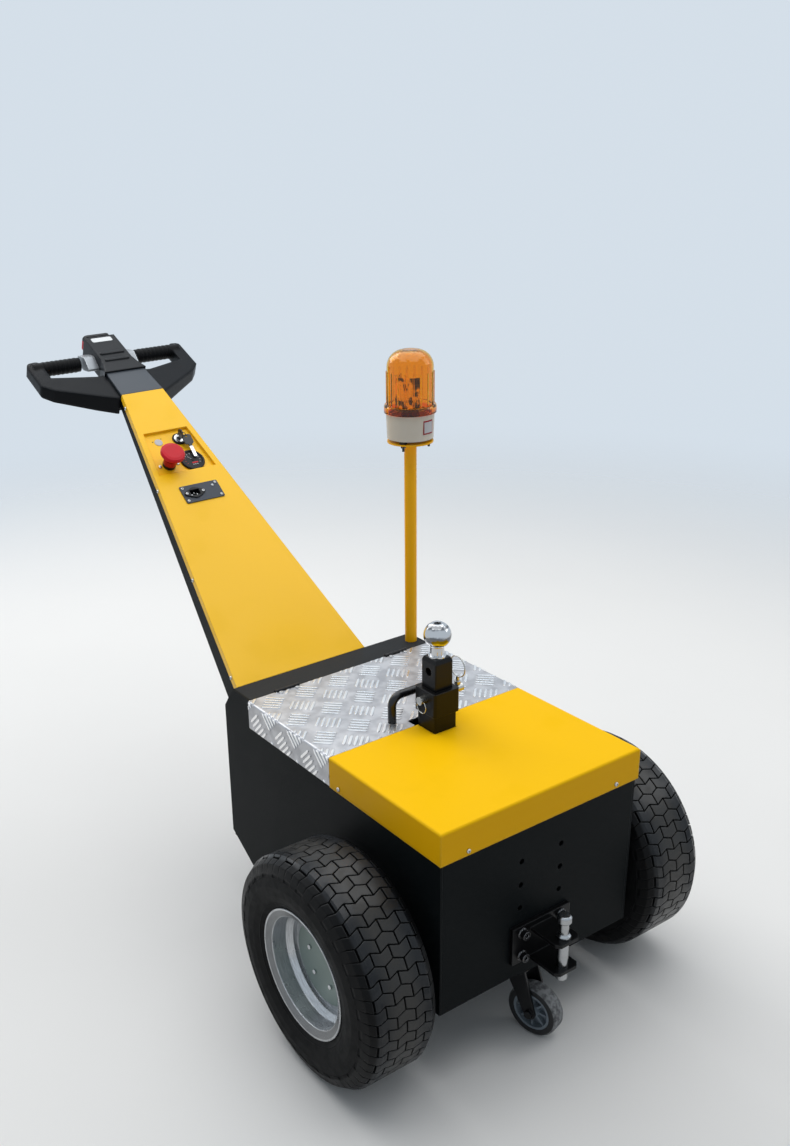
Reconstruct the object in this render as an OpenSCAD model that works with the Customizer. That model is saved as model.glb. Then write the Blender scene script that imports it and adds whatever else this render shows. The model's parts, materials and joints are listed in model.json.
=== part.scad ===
// Walk behind electric tug: a sheet metal body on two turf tyres, a tapered
// steering arm with a looped handle, a ball hitch, a pin hitch and a beacon.
// Millimetres. X to the right, Y from the hitch end to the handle, Z up, floor at 0.

/* [Body] */
// Width over the flanges of the hood and the lid
body_w = 450; // [430:1:470]
// Height of the hood top above the floor
deck_h = 514; // [500:1:530]
// Length of the hood from its front edge to the lid seam
hood_l = 306; // [300:1:312]
// Length of the tread plate lid
lid_l = 274; // [268:1:280]
// Width of the black cross bar behind the lid
bar_w = 64; // [60:1:70]
// Depth of the hood flanges
hood_flange = 60; // [54:1:66]
// Depth of the lid's side flanges
lid_flange = 58; // [52:1:62]
// Sheet thickness of the hood
hood_t = 2; // [1.5:0.5:3]
// Sheet thickness of the body panels
body_t = 4; // [3:0.5:5]
// Height of the floor pan's underside above the floor
ground_gap = 154; // [150:1:158]
// Depth of the side skirts below the floor pan
skirt_drop = 40; // [20:1:50]

/* [Wheels] */
// Outer diameter of the turf tyres
tyre_d = 415; // [408:1:420]
// Width of the turf tyres
tyre_w = 150; // [142:1:154]
// Gap between the side panels and the tyres
tyre_gap = 21.5; // [18:0.5:26]
// Distance of the axle behind the hood's front edge
axle_y = 174.6; // [165:0.2:185]
// Diameter of the rim's outer flange
rim_d = 234; // [228:1:240]
// Depth from the outer rim flange to the wheel disc
dish_depth = 53; // [45:1:60]
// Diameter of the drive shafts
shaft_d = 25; // [20:1:30]

/* [Casters] */
// Diameter of the caster tyres
caster_d = 100; // [96:1:104]
// Width of the caster tyres
caster_w = 32; // [28:1:36]
// Offset of the caster wheel from its swivel axis
caster_trail = 35; // [30:1:40]
// Angle that the front caster is swivelled to, in degrees
front_swivel = 14; // [0:1:30]
// Distance of the rear caster's swivel behind the hood's front edge
rear_caster_y = 560; // [540:1:575]

/* [Arm] */
// Angle of the arm above the horizontal, in degrees
arm_rise = 36.1; // [34:0.1:38]
// Length of the arm's cover
arm_l = 790; // [780:1:800]
// Width of the arm at the body
arm_base_w = 313; // [300:1:320]
// Width of the arm at the neck
arm_top_w = 105; // [100:1:110]
// Depth of the arm at the body
arm_base_depth = 60; // [54:1:64]
// Depth of the arm at the neck
arm_top_depth = 36; // [32:1:40]
// Offset of the arm's centre line from the body's centre plane
arm_x = -55; // [-56:1:-50]

/* [Handle] */
// Angle that the head bends down from the arm, in degrees
neck_bend = 12; // [10:0.5:14]
// Width over both hand grips
handle_w = 404; // [390:1:415]
// Diameter of the hand grips
grip_d = 33; // [30:1:35]
// Length of the head housing beyond the neck
head_l = 148; // [142:1:154]
// Length of the neck cover
neck_l = 90; // [86:1:94]

/* [Hitches] */
// Outer width of the square receiver tube
receiver_w = 50; // [48:1:52]
// Width of the square ball post
post_w = 40; // [37:1:40]
// Diameter of the tow ball
ball_d = 50; // [48:1:52]
// Diameter of the drop pin
drop_pin_d = 20; // [18:1:22]
// Spacing of the two hole columns in the front panel
hole_pitch_x = 91; // [86:1:96]
// Spacing of the hole rows in the front panel
hole_pitch_z = 47; // [45:1:49]
// Diameter of the holes in the front panel
hole_d = 11; // [10:0.5:12]

/* [Beacon] */
// Diameter of the beacon pole
pole_d = 25; // [22:1:28]
// Height of the pole's plate above the deck
pole_h = 433; // [420:1:445]
// Offset of the pole from the body's centre plane
pole_x = 201; // [196:1:202]
// Diameter of the beacon's base
beacon_d = 96; // [90:1:100]
// Height of the beacon's base
beacon_base_h = 66; // [62:1:70]
// Height of the amber lens
lens_h = 112; // [106:1:116]

/* [Hidden] */
$fn = 64;

// Overrun of a cut past the face it goes through
cut = 1;
// Gap between parts that are fitted but do not bear on each other
fit = 0.3;
// Radial clearance of a running fit
run_fit = 0.05;
// Facets of the round ends inside a blended shape
blend_fn = 32;

// Body values
slip = 0.5;
lid_t = 3;
body_half = body_w / 2 - lid_t - slip;
inner_half = body_half - body_t;
track_w = 2 * (body_half + tyre_gap) + tyre_w;
panel_y = 4;
panel_z0 = ground_gap;
top_z = deck_h - hood_t - fit;
hood_r = 4;
seam = 0.6;
lid_y0 = hood_l + seam;
lid_y1 = lid_y0 + lid_l;
bar_y0 = lid_y1 + seam;
bar_y1 = bar_y0 + bar_w;
arm_s = sin(arm_rise);
arm_c = cos(arm_rise);
mitre_y = bar_y1 + arm_base_depth * arm_s;
mitre_z = deck_h - arm_base_depth * arm_c;
rear_slant = 4;
rear_y = mitre_y + rear_slant;
rear_drop = 345;
rear_z = deck_h - rear_drop;
rear_run = 85;
rear_low_y = rear_y - rear_run;
skirt_z = ground_gap - skirt_drop;
skirt_gap = 20;
skirt_y0 = axle_y + tyre_d / 2 + skirt_gap;
skirt_slope = 60;
sill = 20;

// Screw values
screw_d = 8;
screw_h = 3;
socket_d = 3.4;
socket_h = 1.6;
screw_drop = 51;
hood_screw_x = 168;
side_screw_y = 278;
head_round_share = 0.84;
small_screw_d = 6.4;
small_screw_h = 1.8;

// Wheel values
wheel_z = tyre_d / 2;
bead_r = 103;
rim_half_share = 0.445;
rim_t = 2.6;
flange_lip = 9;
well_r = 94;
disc_t = 5;
hub_disc_d = 150;
hub_disc_h = 8;
hub_screws = 5;
hub_screw_pcd = 80;
hub_screw_turn = -2;
tread_depth = 6;
tread_pairs = 30;
tread_turn = -48;
block_w = 36.5;
block_bend = 7;
block_root = 32;
joint_w = 3.4;
groove_w = 2.8;
shoulder_drop = 11;
shoulder_share = 0.88;
sidewall_shares = [[0.24, 0.92], [0.4, 0.98], [0.56, 1], [0.72, 0.97]];
well_out_share = 0.45;
well_share = 0.3;
hub_boss_h = 20;
drum_h = 28;
drum_d = 105;
motor_step_share = 0.45;
motor_rear_share = 0.78;
crown_share = 0.66;
motor_d = 92;
motor_l = 150;
flange_d = 98;
flange_t = 12;
shaft_seat = 60;
panel_hole_d = 52;
motor_bolts = 4;
motor_bolt_pcd = 80;

// Caster values
caster_r = caster_d / 2;
plate_t = 5;
plate_w = 90;
plate_l = 76;
race_d = 52;
race_h = 13;
race_low_d = 44;
plate_hole_in = 12;
plate_hole_d = 8.5;
crown_d = 46;
king_nut_d = 16;
king_nut_h = 6;
leg_end_r = 12;
axle_nut_d = 17;
axle_nut_h = 6;
fork_t = 4;
fork_gap = 3;
caster_bolt_d = 10;
core_inset = 1;
caster_hub_l = caster_w + 2 * core_inset;
caster_core_d = 74;
caster_spokes = 8;
core_rim_t = 5;
core_hub_t = 8;
core_web_t = 3;
spoke_t = 4;
caster_round = 6;
front_caster_y = panel_y + plate_l / 2 + cut;

// Lid handle values
lid_bar_d = 16;
lid_handle_w = 116;
lid_handle_in = 35;
lid_handle_y = lid_y0 + lid_handle_in;
lid_handle_h = 52;
lid_bend_r = 20;
notch_gap = 7;
notch_w = receiver_w + 2 * notch_gap;
notch_l = 22;

// Hinge values
leaf_w = 56;
leaf_l = 24;
leaf_screw_share = 0.36;
knuckles = 5;
leaf_t = 2.5;
leaf_web_t = 2.5;
knuckle_d = 7;
hinge_pin_d = 4;
hinge_x = 135;
hinge_y = (lid_y1 + bar_y0) / 2;
hinge_rise = knuckle_d / 2 + slip - lid_t;
hinge_notch = knuckle_d / 2 + slip;

// Tread plate values
stripe_l = 38;
stripe_w = 5;
stripe_h = 1.2;
stripe_gap = 10;
stripe_pitch_x = 77;
stripe_pitch_y = 87.5;
stripe_shift_x = -36;
stripe_shift_y = 63;
stripe_in = hood_r / 2;
stripes = 5;

// Arm values
cover_t = 2;
cover_flange = 14;
channel_t = 3;
slope_share = (arm_base_w - arm_top_w) / 2 / arm_l;
recess_in = 123;
recess_l = 122;
recess_s1 = arm_l - recess_in;
recess_s0 = recess_s1 - recess_l;
recess_depth = 7;
recess_margin = 14;
estop_in = 217;
estop_s = arm_l - estop_in;
estop_dx = -33;
estop_collar_d = 30;
estop_collar_h = 22;
estop_stem_d = 24;
estop_bore_d = 20;
estop_floor = 4;
estop_travel = 5;
knob_tail = 6;
knob_lip = 4;
mushroom_shares = [[0.62, 0.35], [0.93, 0.42], [1, 0.55], [1, 0.75], [0.92, 0.92], [0.7, 1]];
estop_screw_x = 22;
estop_block_d = 36;
estop_block_h = 22;
mushroom_d = 55;
mushroom_h = 20;
key_in = 150;
key_s = arm_l - key_in;
key_dx = 24;
key_collar_d = 24;
key_collar_h = 4;
key_body_d = 19;
key_body_h = 20;
key_seat = 4.3;
key_barrel_l = 16;
key_t = 2.4;
key_shank_w = 8;
key_bow_r = 11;
key_wire = 1.6;
key_ring_r = 12;
key_barrel_d = 10;
key_hole_in = 5;
key_hole_z = 24;
key_hole_r = 2.4;
key_fob_l = 26;
key_blade_l = 34;
gauge_in = 216;
gauge_s = arm_l - gauge_in;
gauge_dx = 26;
gauge_d = 57;
gauge_h = 5;
gauge_body_d = 46;
gauge_body_h = 24;
gauge_bevel = 1.5;
gauge_sink = 2;
gauge_glass_d = 47;
charge_in = 311;
charge_s = arm_l - charge_in;
charge_dx = 2;
charge_w = 94;
charge_l = 47;
charge_t = 2.5;
inlet_w = 29;
inlet_l = 21;
inlet_flange_w = 50;
inlet_dx = -18;
inlet_depth = 24;
inlet_wall = 3;
inlet_floor = 6;
inlet_flange_t = 3;
inlet_boss_d = 28;
inlet_end_r = 5;
plate_screw_in = 6;
plate_r = 3;
cover_screw_shares = [0.035, 0.34, 0.645, 0.955];

// Handle values
neck_w = 97;
neck_t = 3;
neck_flange = 5.6;
head_w = 78;
head_d = 46;
head_lip = 4;
shoulder_l = 28;
taper_l = 50;
rib_places = [46, 74];
rib_l = 9;
rib_h = 2.4;
rib_end_r = 4;
rib_share = 0.8;
socket_depth = 12;
grip_t = 183;
grip_n = -30;
grip_in = 74;
grip_ridges = 8;
grip_ridge_h = 0.8;
grip_ridge_w = 4;
grip_pitch = 11;
spine_in = 40;
spine_t0 = -12;
spine_t1 = 96;
spine_depth = 44;
tip_depth = 30;
tip_t0 = 92;
tip_t1 = 128;
spine_top = -6;
tip_top = -20;
corner_r = 13;
corner_in = 22;
corner_low = 12;
corner_up = 14;
outer_w = 34;
opening_lap = 6;
wing_r = 5;
wing_lap = 10;
wing_drop = 6;
wing_sag = 2;
throttle_t = 178;
throttle_n = -26;
throttle_shaft_d = 10;
throttle_l = 26;
throttle_boss_r = 16;
fin_reach = 28;
fin_end_r = 4;
belly_h = 16;
belly_travel = 8;
belly_r = 10;
belly_w = 70;
belly_l = 42;
belly_stem_w = 54;
belly_stem_h = 28;

// Receiver values
receiver_y = 283;
receiver_t = 4.7;
receiver_down = 112;
collar_w = 58;
collar_rise = 33;
collar_tall = 47;
collar_z0 = deck_h + collar_rise;
collar_z1 = collar_z0 + collar_tall;
brace_t = 6;
brace_l = 90;
post_rise = 140;
post_down = 100;
post_top = deck_h + post_rise;
post_low = deck_h - post_down;
shoulder_h = 8;
ball_stud_l = 15;
post_hole_d = 16;
post_hole_rise = 114;
post_hole_z = deck_h + post_hole_rise;
neck_d = 25;
ball_collar_d = 33;
ball_collar_t = 3;
ball_rise = 181;
ball_z = deck_h + ball_rise;
ball_flat_share = 0.9;
hex_d = 15;
hex_h = 6;
cross_d = 16;
cross_rise = 62;
cross_z = deck_h + cross_rise;
cross_in = 42;
cross_out = 58;
pull_in = 6;
pull_ring_d = 25;
pull_wire = 2;
linch_d = 6;
linch_x = 48;
linch_l = 40;
linch_low_share = 0.4;
ring_d = 40;
ring_wire = 2.4;

// Front hitch values
row_rise = 47;
row_clear = 50;
row_low = ground_gap + row_rise;
rows = 1 + floor((deck_h - hood_flange - row_clear - row_low) / hole_pitch_z);
row_top = row_low + (rows - 1) * hole_pitch_z;
bracket_w = 134;
bracket_h = 75;
bracket_t = 8;
ear_w = 54;
ear_l = 68;
ear_t = 6;
ear_gap = 53;
bracket_z = row_low + hole_pitch_z / 2;
ear_top = bracket_z + ear_gap / 2;
ear_chamfer = 8;
pin_y = -56;
pin_head_d = 25;
pin_collar_h = 7;
pin_waist_d = 17;
pin_head_h = 13;
pin_rise = 46;
pin_tail = 22;
pin_bevel = 2;
pin_round = 3;
bolt_d = 10;
bolt_head_d = 16;
bolt_head_h = 10;
bolt_key_d = 8;
washer_d = 20;
washer_t = 2;
nut_d = 18;
nut_h = 8;
bolt_tail = 4;

// Beacon values
pole_y = bar_y0 + bar_w / 2;
plate_d = 92;
beacon_plate_t = 3;
beacon_foot_h = 6;
beacon_foot_d = 14;
beacon_feet_pcd = 74;
beacon_feet_count = 3;
collar_h = 15;
collar_over = 8;
lip_h = 3;
lip_over = 1.5;
collar_d = beacon_d + collar_over;
lens_in = 4;
lens_d = beacon_d - lens_in;
lens_t = 3;
lens_ribs = 18;
dome_steps = 12;
rib_r = 1.6;
dome_r = 33;
bulb_d = 16;
bulb_l = 42;
reflector_h = 58;
reflector_r = 30;
reflector_t = 2.5;
motor_boss_d = 34;
pole_wall = 2;
stud_d = 5;
stud_nut_d = 10;
stud_nut_h = 5;
stud_tail = 12;
base_floor = 5;
base_bore_d = 80;
lens_seat = 6;
rib_low = 8;
bulb_neck_d = 14;
bulb_foot = 14;
carrier_d = 44;
carrier_h = 6;
carrier_t = 3;

// Battery and controller values
battery_w = 138;
battery_l = 229;
battery_h = 208;
battery_gap = 4;
battery_in = 18;
battery_y = lid_y1 - battery_l - battery_in;
battery_lid_h = 16;
battery_lid_in = 4;
battery_r = 4;
terminal_in = 24;
terminal_d = 14;
terminal_h = 9;
control_w = 200;
control_l = 62;
control_h = 55;
fin_t = 3;
fins = 12;
fin_h = 12;

// Where the arm ends, and how far the part reaches along Y
head_angle = arm_rise - neck_bend;
neck_end = neck_l + head_l;
reach_y = bar_y1 + arm_l * arm_c + (neck_end + belly_h) * cos(head_angle)
    + (head_d / 2 + spine_depth / 2) * sin(head_angle);
front_reach = ear_l - panel_y + bracket_t;
origin_y = (reach_y - front_reach) / 2;

// The direction from one point to the next, and the normal to its left
function along(a, b) = (b - a) / norm(b - a);
function left_of(v) = [-v.y, v.x];
// The offset of a bend by a sheet's thickness
function bend_point(p, q, r, t) =
    let (m = left_of(along(p, q)), n = left_of(along(q, r))) q + t * (m + n) / (1 + m * n);
function inner_line(pts, t) = [for (i = [0:len(pts) - 1])
    i == 0 ? pts[0] + t * left_of(along(pts[0], pts[1]))
    : i == len(pts) - 1 ? pts[i] + t * left_of(along(pts[i - 1], pts[i]))
    : bend_point(pts[i - 1], pts[i], pts[i + 1], t)];
// A bent sheet of thickness t whose outer face follows the points
module sheet(pts, t) {
    inner = inner_line(pts, t);
    polygon(concat(pts, [for (i = [len(pts) - 1:-1:0]) inner[i]]));
}

// Moves the machine so that its origin lies under the middle of its box
module placed() {
    translate([0, -origin_y, 0]) children();
}
// Extrudes a profile drawn in Y and Z over a width centred on X
module across(w) {
    translate([-w / 2, 0, 0]) rotate([90, 0, 90]) linear_extrude(w) children();
}
// The hollow of a bore through a height h from the plane z = 0
module bore(d, h) {
    translate([0, 0, -cut]) cylinder(d = d, h = h + 2 * cut);
}
// A bar along X between two places
module bar_x(d, x0, x1) {
    translate([x0, 0, 0]) rotate([0, 90, 0]) cylinder(d = d, h = x1 - x0);
}
// A bar along Y between two places
module bar_y(d, y0, y1) {
    translate([0, y0, 0]) rotate([-90, 0, 0]) cylinder(d = d, h = y1 - y0);
}
// A rectangle centred on X with round corners
module round_rect(w, l, r) {
    square([w - 2 * r, l], center = true);
    square([w, l - 2 * r], center = true);
    for (x = [-1, 1], y = [-1, 1]) translate([x * (w / 2 - r), y * (l / 2 - r)]) circle(r);
}
// A profile below zero with its two top corners round
module top_round(w, h, r) {
    translate([-w / 2, -h]) square([w, h - r]);
    translate([-w / 2 + r, -r]) square([w - 2 * r, r]);
    for (x = [-1, 1]) translate([x * (w / 2 - r), -r]) circle(r);
}
// The same with only the corner at its start round
module front_round(l, h, r) {
    translate([0, -h]) square([l, h - r]);
    translate([r, -r]) square([l - r, r]);
    translate([r, -r]) circle(r);
}
// A pan head screw with a hexagon socket, its head rising along Z
module pan_screw(d, h, l) {
    difference() {
        rotate_extrude() polygon([[0, -l], [d / 4, -l], [d / 4, 0], [d / 2, 0], [d / 2, h / 2],
            [d / 2 * head_round_share, h * head_round_share], [d / 4, h], [0, h]]);
        translate([0, 0, h - socket_h]) cylinder(d = socket_d, h = h, $fn = 6);
    }
}

// The side panel's outline in Y and Z
side_outline = [
    [panel_y, panel_z0],
    [skirt_y0, panel_z0],
    [skirt_y0 + skirt_slope, skirt_z],
    [rear_low_y, skirt_z],
    [rear_y, rear_z],
    [mitre_y, mitre_z],
    [bar_y1, deck_h],
    [bar_y0, deck_h],
    [bar_y0, deck_h - lid_t - fit],
    [lid_y0, deck_h - lid_t - fit],
    [lid_y0, top_z],
    [panel_y, top_z]
];
module side_panel(side) {
    color([0.09, 0.1, 0.1]) placed() difference() {
        translate([side * (inner_half + body_t / 2), 0, 0]) across(body_t) polygon(side_outline);
        translate([side * inner_half, axle_y, wheel_z])
            bar_x(panel_hole_d, -body_t - cut, body_t + cut);
        for (i = [0:motor_bolts - 1]) motor_bolt_place(i)
            translate([side * inner_half, 0, 0]) bar_x(bolt_d + fit, -body_t - cut, body_t + cut);
        translate([side * body_half, side_screw_y, deck_h - screw_drop])
            bar_x(screw_d / 2 + fit, -body_t - cut, body_t + cut);
    }
}
module motor_bolt_place(i) {
    translate([0, axle_y, wheel_z]) rotate([360 / motor_bolts * (i + 0.5), 0, 0])
        translate([0, motor_bolt_pcd / 2, 0]) children();
}
module side_panel_left() { side_panel(-1); }
module side_panel_right() { side_panel(1); }

// The holes of the front panel, five rows of two
module hole_place(row, side) {
    translate([side * hole_pitch_x / 2, panel_y, row_top - row * hole_pitch_z]) children();
}
module front_panel() {
    color([0.09, 0.1, 0.1]) placed() difference() {
        translate([fit - inner_half, panel_y, panel_z0])
            cube([2 * inner_half - 2 * fit, body_t, top_z - panel_z0]);
        for (row = [0:rows - 1], side = [-1, 1]) hole_place(row, side)
            bar_y(hole_d, -cut, body_t + cut);
        for (side = [-1, 1]) translate([side * hood_screw_x, panel_y, deck_h - screw_drop])
            bar_y(screw_d / 2 + fit, -cut, body_t + cut);
    }
}

// The floor pan, a tray with a turned up edge against the front and the rear
module floor_pan() {
    pan_y0 = panel_y + body_t + fit;
    pan_y1 = rear_y - body_t - fit;
    color([0.09, 0.1, 0.1]) placed() across(2 * inner_half - 2 * fit)
        sheet([[pan_y0, ground_gap + sill], [pan_y0, ground_gap], [pan_y1, ground_gap],
            [pan_y1, ground_gap + sill]], body_t);
}

// The cross bar, the slanted face under the arm and the back, in one bent sheet
module rear_shell() {
    color([0.09, 0.1, 0.1]) placed() difference() {
        across(2 * inner_half - 2 * fit) sheet([[rear_y, ground_gap], [rear_y, rear_z],
            [mitre_y, mitre_z], [bar_y1, deck_h], [bar_y0, deck_h]], body_t);
        hinge_notches();
    }
}

// The folded hood, with round edges along its top
module hood_block(w, l, h, r) {
    intersection() {
        rotate([90, 0, 0]) translate([0, 0, -l]) linear_extrude(l) top_round(w, h, r);
        across(w) front_round(l, h, r);
    }
}
module hood() {
    color([0.97, 0.72, 0.03]) placed() translate([0, 0, deck_h]) difference() {
        hood_block(body_w, hood_l, hood_flange, hood_r);
        translate([0, hood_t, -hood_t])
            hood_block(body_w - 2 * hood_t, hood_l, hood_flange, hood_r - hood_t);
        translate([-receiver_w / 2 - fit, receiver_y - receiver_w / 2 - fit, -hood_t - cut])
            cube([receiver_w + 2 * fit, hood_l, hood_t + 2 * cut]);
        for (side = [-1, 1]) translate([side * hood_screw_x, 0, -screw_drop])
            bar_y(screw_d / 2 + fit, -cut, hood_t + cut);
        for (side = [-1, 1]) translate([side * body_w / 2, side_screw_y, -screw_drop])
            bar_x(screw_d / 2 + fit, -hood_t - cut, hood_t + cut);
    }
}
module body_screws() {
    reach = lid_t + slip + body_t + cut;
    color([0.6, 0.6, 0.6]) placed() {
        for (side = [-1, 1]) {
            translate([side * hood_screw_x, 0, deck_h - screw_drop]) rotate([90, 0, 0])
                pan_screw(screw_d, screw_h, reach);
            translate([side * body_w / 2, side_screw_y, deck_h - screw_drop])
                rotate([0, side * 90, 0]) pan_screw(screw_d, screw_h, reach);
        }
    }
}

// One raised bar, pointed at both ends, and five of them side by side
module stripe_group(turn) {
    rotate([0, 0, turn]) for (i = [0:stripes - 1])
        translate([0, (i - (stripes - 1) / 2) * stripe_gap])
        polygon([for (k = [-1, 1]) each [[k * stripe_l / 2, 0],
            k * [stripe_l / 2 - stripe_w, stripe_w / 2], k * [stripe_w - stripe_l / 2, stripe_w / 2]]]);
}
// The five-bar pattern over the lid's length, between x0 and x1
module stripe_field(x0, x1) {
    pitch = [stripe_pitch_x, stripe_pitch_y];
    intersection() {
        translate([x0, stripe_h]) square([x1 - x0, lid_l - 2 * stripe_h]);
        for (x = [floor(x0 / pitch.x):ceil(x1 / pitch.x)], y = [-1:ceil(lid_l / pitch.y)])
            translate([x * pitch.x + stripe_shift_x, y * pitch.y + stripe_shift_y]) {
                stripe_group(-45);
                translate(pitch / 2) stripe_group(45);
            }
    }
}
// The lid, a five-bar tread plate with a flange down each side
module tread_lid() {
    color([0.78, 0.79, 0.8]) placed() difference() {
        union() {
            translate([0, lid_y1, deck_h]) rotate([90, 0, 0]) linear_extrude(lid_l) difference() {
                top_round(body_w, lid_flange, hood_r);
                translate([0, -lid_t]) top_round(body_w - 2 * lid_t, lid_flange, hood_r - lid_t);
            }
            translate([0, 0, deck_h - stripe_h]) linear_extrude(2 * stripe_h) difference() {
                translate([0, lid_y0]) stripe_field(stripe_in - body_w / 2, body_w / 2 - stripe_in);
                lid_places(screw_d, lid_bar_d);
            }
            for (side = [-1, 1]) translate([side * body_w / 2, lid_y0, deck_h]) across(2 * stripe_h)
                mirror([1, -1]) mirror([side > 0 ? 1 : 0, 0]) translate([-side * body_w / 2, 0])
                stripe_field(side > 0 ? body_w / 2 + stripe_in : stripe_h - body_w / 2 - lid_flange,
                    side > 0 ? body_w / 2 + lid_flange - stripe_h : -body_w / 2 - stripe_in);
        }
        translate([-notch_w / 2, lid_y0 - cut, deck_h - lid_t - cut])
            cube([notch_w, notch_l + cut, lid_t + 2 * cut + stripe_h]);
        translate([0, 0, deck_h - lid_t - cut]) linear_extrude(lid_t + 2 * cut)
            lid_places(screw_d / 2, lid_bar_d / 2);
        hinge_notches();
    }
}
// The round holes of the lid, for its hinge screws and for its handle
module lid_places(screw, bar) {
    lid_screw_places() circle(d = screw + fit);
    for (side = [-1, 1]) translate([side * lid_handle_w / 2, lid_handle_y]) circle(d = bar + fit);
}
module lid_screw_places() {
    for (side = [-1, 1], k = [-1, 1])
        translate([side * hinge_x + k * leaf_w / 3, hinge_y - leaf_l * leaf_screw_share])
        children();
}
// The gaps in the lid and the bar that the knuckles stand in
module hinge_notches() {
    for (side = [-1, 1])
        translate([side * hinge_x - leaf_w / 2 - fit, hinge_y - hinge_notch, deck_h - body_t - cut])
        cube([leaf_w + 2 * fit, 2 * hinge_notch, body_t + stripe_h + 2 * cut]);
}
// The bent round bar that lifts the lid
module lid_handle() {
    half = lid_handle_w / 2;
    rise = lid_handle_h;
    color([0.05, 0.05, 0.05]) placed() translate([0, lid_handle_y, deck_h]) {
        for (side = [-1, 1]) {
            translate([side * half, 0, 0]) cylinder(d = lid_bar_d, h = rise - lid_bend_r);
            translate([side * half, 0, -lid_t - socket_h]) cylinder(d = lid_bar_d / 2, h = lid_bar_d);
            translate([side * (half - lid_bend_r), 0, rise - lid_bend_r]) rotate([90, 0, 0])
                rotate([0, 0, side > 0 ? 0 : 90]) rotate_extrude(angle = 90)
                translate([lid_bend_r, 0]) circle(d = lid_bar_d);
        }
        translate([0, 0, rise]) bar_x(lid_bar_d, -half + lid_bend_r, half - lid_bend_r);
    }
}
// A hinge leaf under a sheet of thickness t, with webs up to every second knuckle;
// dir is -1 under the lid
module leaf(side, first, dir, t) {
    part = leaf_w / knuckles;
    translate([side * hinge_x, hinge_y, deck_h]) {
        translate([-leaf_w / 2, dir > 0 ? fit : -leaf_l, -t - leaf_t])
            cube([leaf_w, leaf_l - fit, leaf_t]);
        for (k = [first:2:knuckles - 1]) translate([-leaf_w / 2 + k * part + fit, 0, 0]) difference() {
            union() {
                translate([0, 0, hinge_rise]) bar_x(knuckle_d, 0, part - 2 * fit);
                translate([0, dir > 0 ? fit : -fit - leaf_web_t, -t - leaf_t])
                    cube([part - 2 * fit, leaf_web_t, t + leaf_t + hinge_rise]);
            }
            if (dir < 0) translate([0, 0, hinge_rise])
                bar_x(hinge_pin_d + 2 * run_fit, -cut, part + cut);
        }
    }
}
module hinge_leaves() {
    color([0.35, 0.35, 0.36]) placed() for (side = [-1, 1]) {
        leaf(side, 0, 1, body_t);
        translate([side * hinge_x, hinge_y, deck_h + hinge_rise])
            bar_x(hinge_pin_d, -leaf_w / 2, leaf_w / 2);
    }
}
module lid_leaves() {
    color([0.7, 0.7, 0.72]) placed() {
        difference() {
            for (side = [-1, 1]) leaf(side, 1, -1, lid_t);
            translate([0, 0, deck_h - lid_t - leaf_t - cut]) linear_extrude(leaf_t + 2 * cut)
                lid_screw_places() circle(d = screw_d / 2 + fit);
        }
        translate([0, 0, deck_h]) lid_screw_places() pan_screw(screw_d, screw_h, leaf_t + lid_t);
    }
}

// The receiver tube with its collar, on a brace
module receiver() {
    low = deck_h - receiver_down;
    color([0.07, 0.07, 0.07]) placed() difference() {
        union() {
            translate([0, receiver_y, low]) linear_extrude(collar_z1 - low)
                round_rect(receiver_w, receiver_w, receiver_t / 2);
            translate([0, receiver_y, collar_z0]) linear_extrude(collar_z1 - collar_z0)
                round_rect(collar_w, collar_w, receiver_t);
            translate([fit - inner_half, receiver_y - brace_l / 2, low - brace_t])
                cube([2 * inner_half - 2 * fit, brace_l, brace_t]);
        }
        translate([0, receiver_y, low]) linear_extrude(collar_z1 - low + cut)
            square(receiver_w - 2 * receiver_t, center = true);
        translate([0, receiver_y, cross_z]) bar_x(cross_d + fit, -collar_w, collar_w);
    }
}
// The square ball post, with a bevelled shoulder and a row of pin holes
module ball_post() {
    lean = (post_w - ball_collar_d) / 2;
    low = ball_collar_d / 2 + 2 * lean;
    top = ball_collar_d / 2 - lean;
    side = [[-low, 0], [low, 0], [low, post_top - 2 * shoulder_h], [top, post_top + shoulder_h],
        [-top, post_top + shoulder_h], [-low, post_top - 2 * shoulder_h]];
    color([0.06, 0.06, 0.06]) placed() difference() {
        intersection() {
            translate([0, receiver_y, post_low]) linear_extrude(post_top - post_low)
                round_rect(post_w, post_w, receiver_t / 2);
            translate([0, receiver_y, 0]) across(2 * post_w) polygon(side);
            translate([0, receiver_y, 0]) rotate([0, 0, 90]) across(2 * post_w) polygon(side);
        }
        for (z = [post_hole_z, cross_z]) translate([0, receiver_y, z])
            bar_x(post_hole_d + fit, -post_w, post_w);
        translate([0, receiver_y, post_top - ball_stud_l])
            cylinder(d = neck_d / 2 + fit, h = ball_stud_l + cut);
    }
}
module tow_ball() {
    r = ball_d / 2;
    color([0.85, 0.85, 0.86]) placed() translate([0, receiver_y, 0]) difference() {
        union() {
            translate([0, 0, post_top]) cylinder(d = ball_collar_d, h = ball_collar_t);
            translate([0, 0, post_top - ball_stud_l]) cylinder(d = neck_d / 2, h = ball_stud_l + cut);
            translate([0, 0, post_top]) cylinder(d = neck_d, h = ball_z - post_top);
            intersection() {
                translate([0, 0, ball_z]) sphere(r);
                translate([0, 0, ball_z - r]) cylinder(r = r, h = r + r * ball_flat_share);
            }
        }
        translate([0, 0, ball_z + r * ball_flat_share - hex_h])
            cylinder(d = hex_d, h = hex_h + cut, $fn = 6);
    }
}
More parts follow.
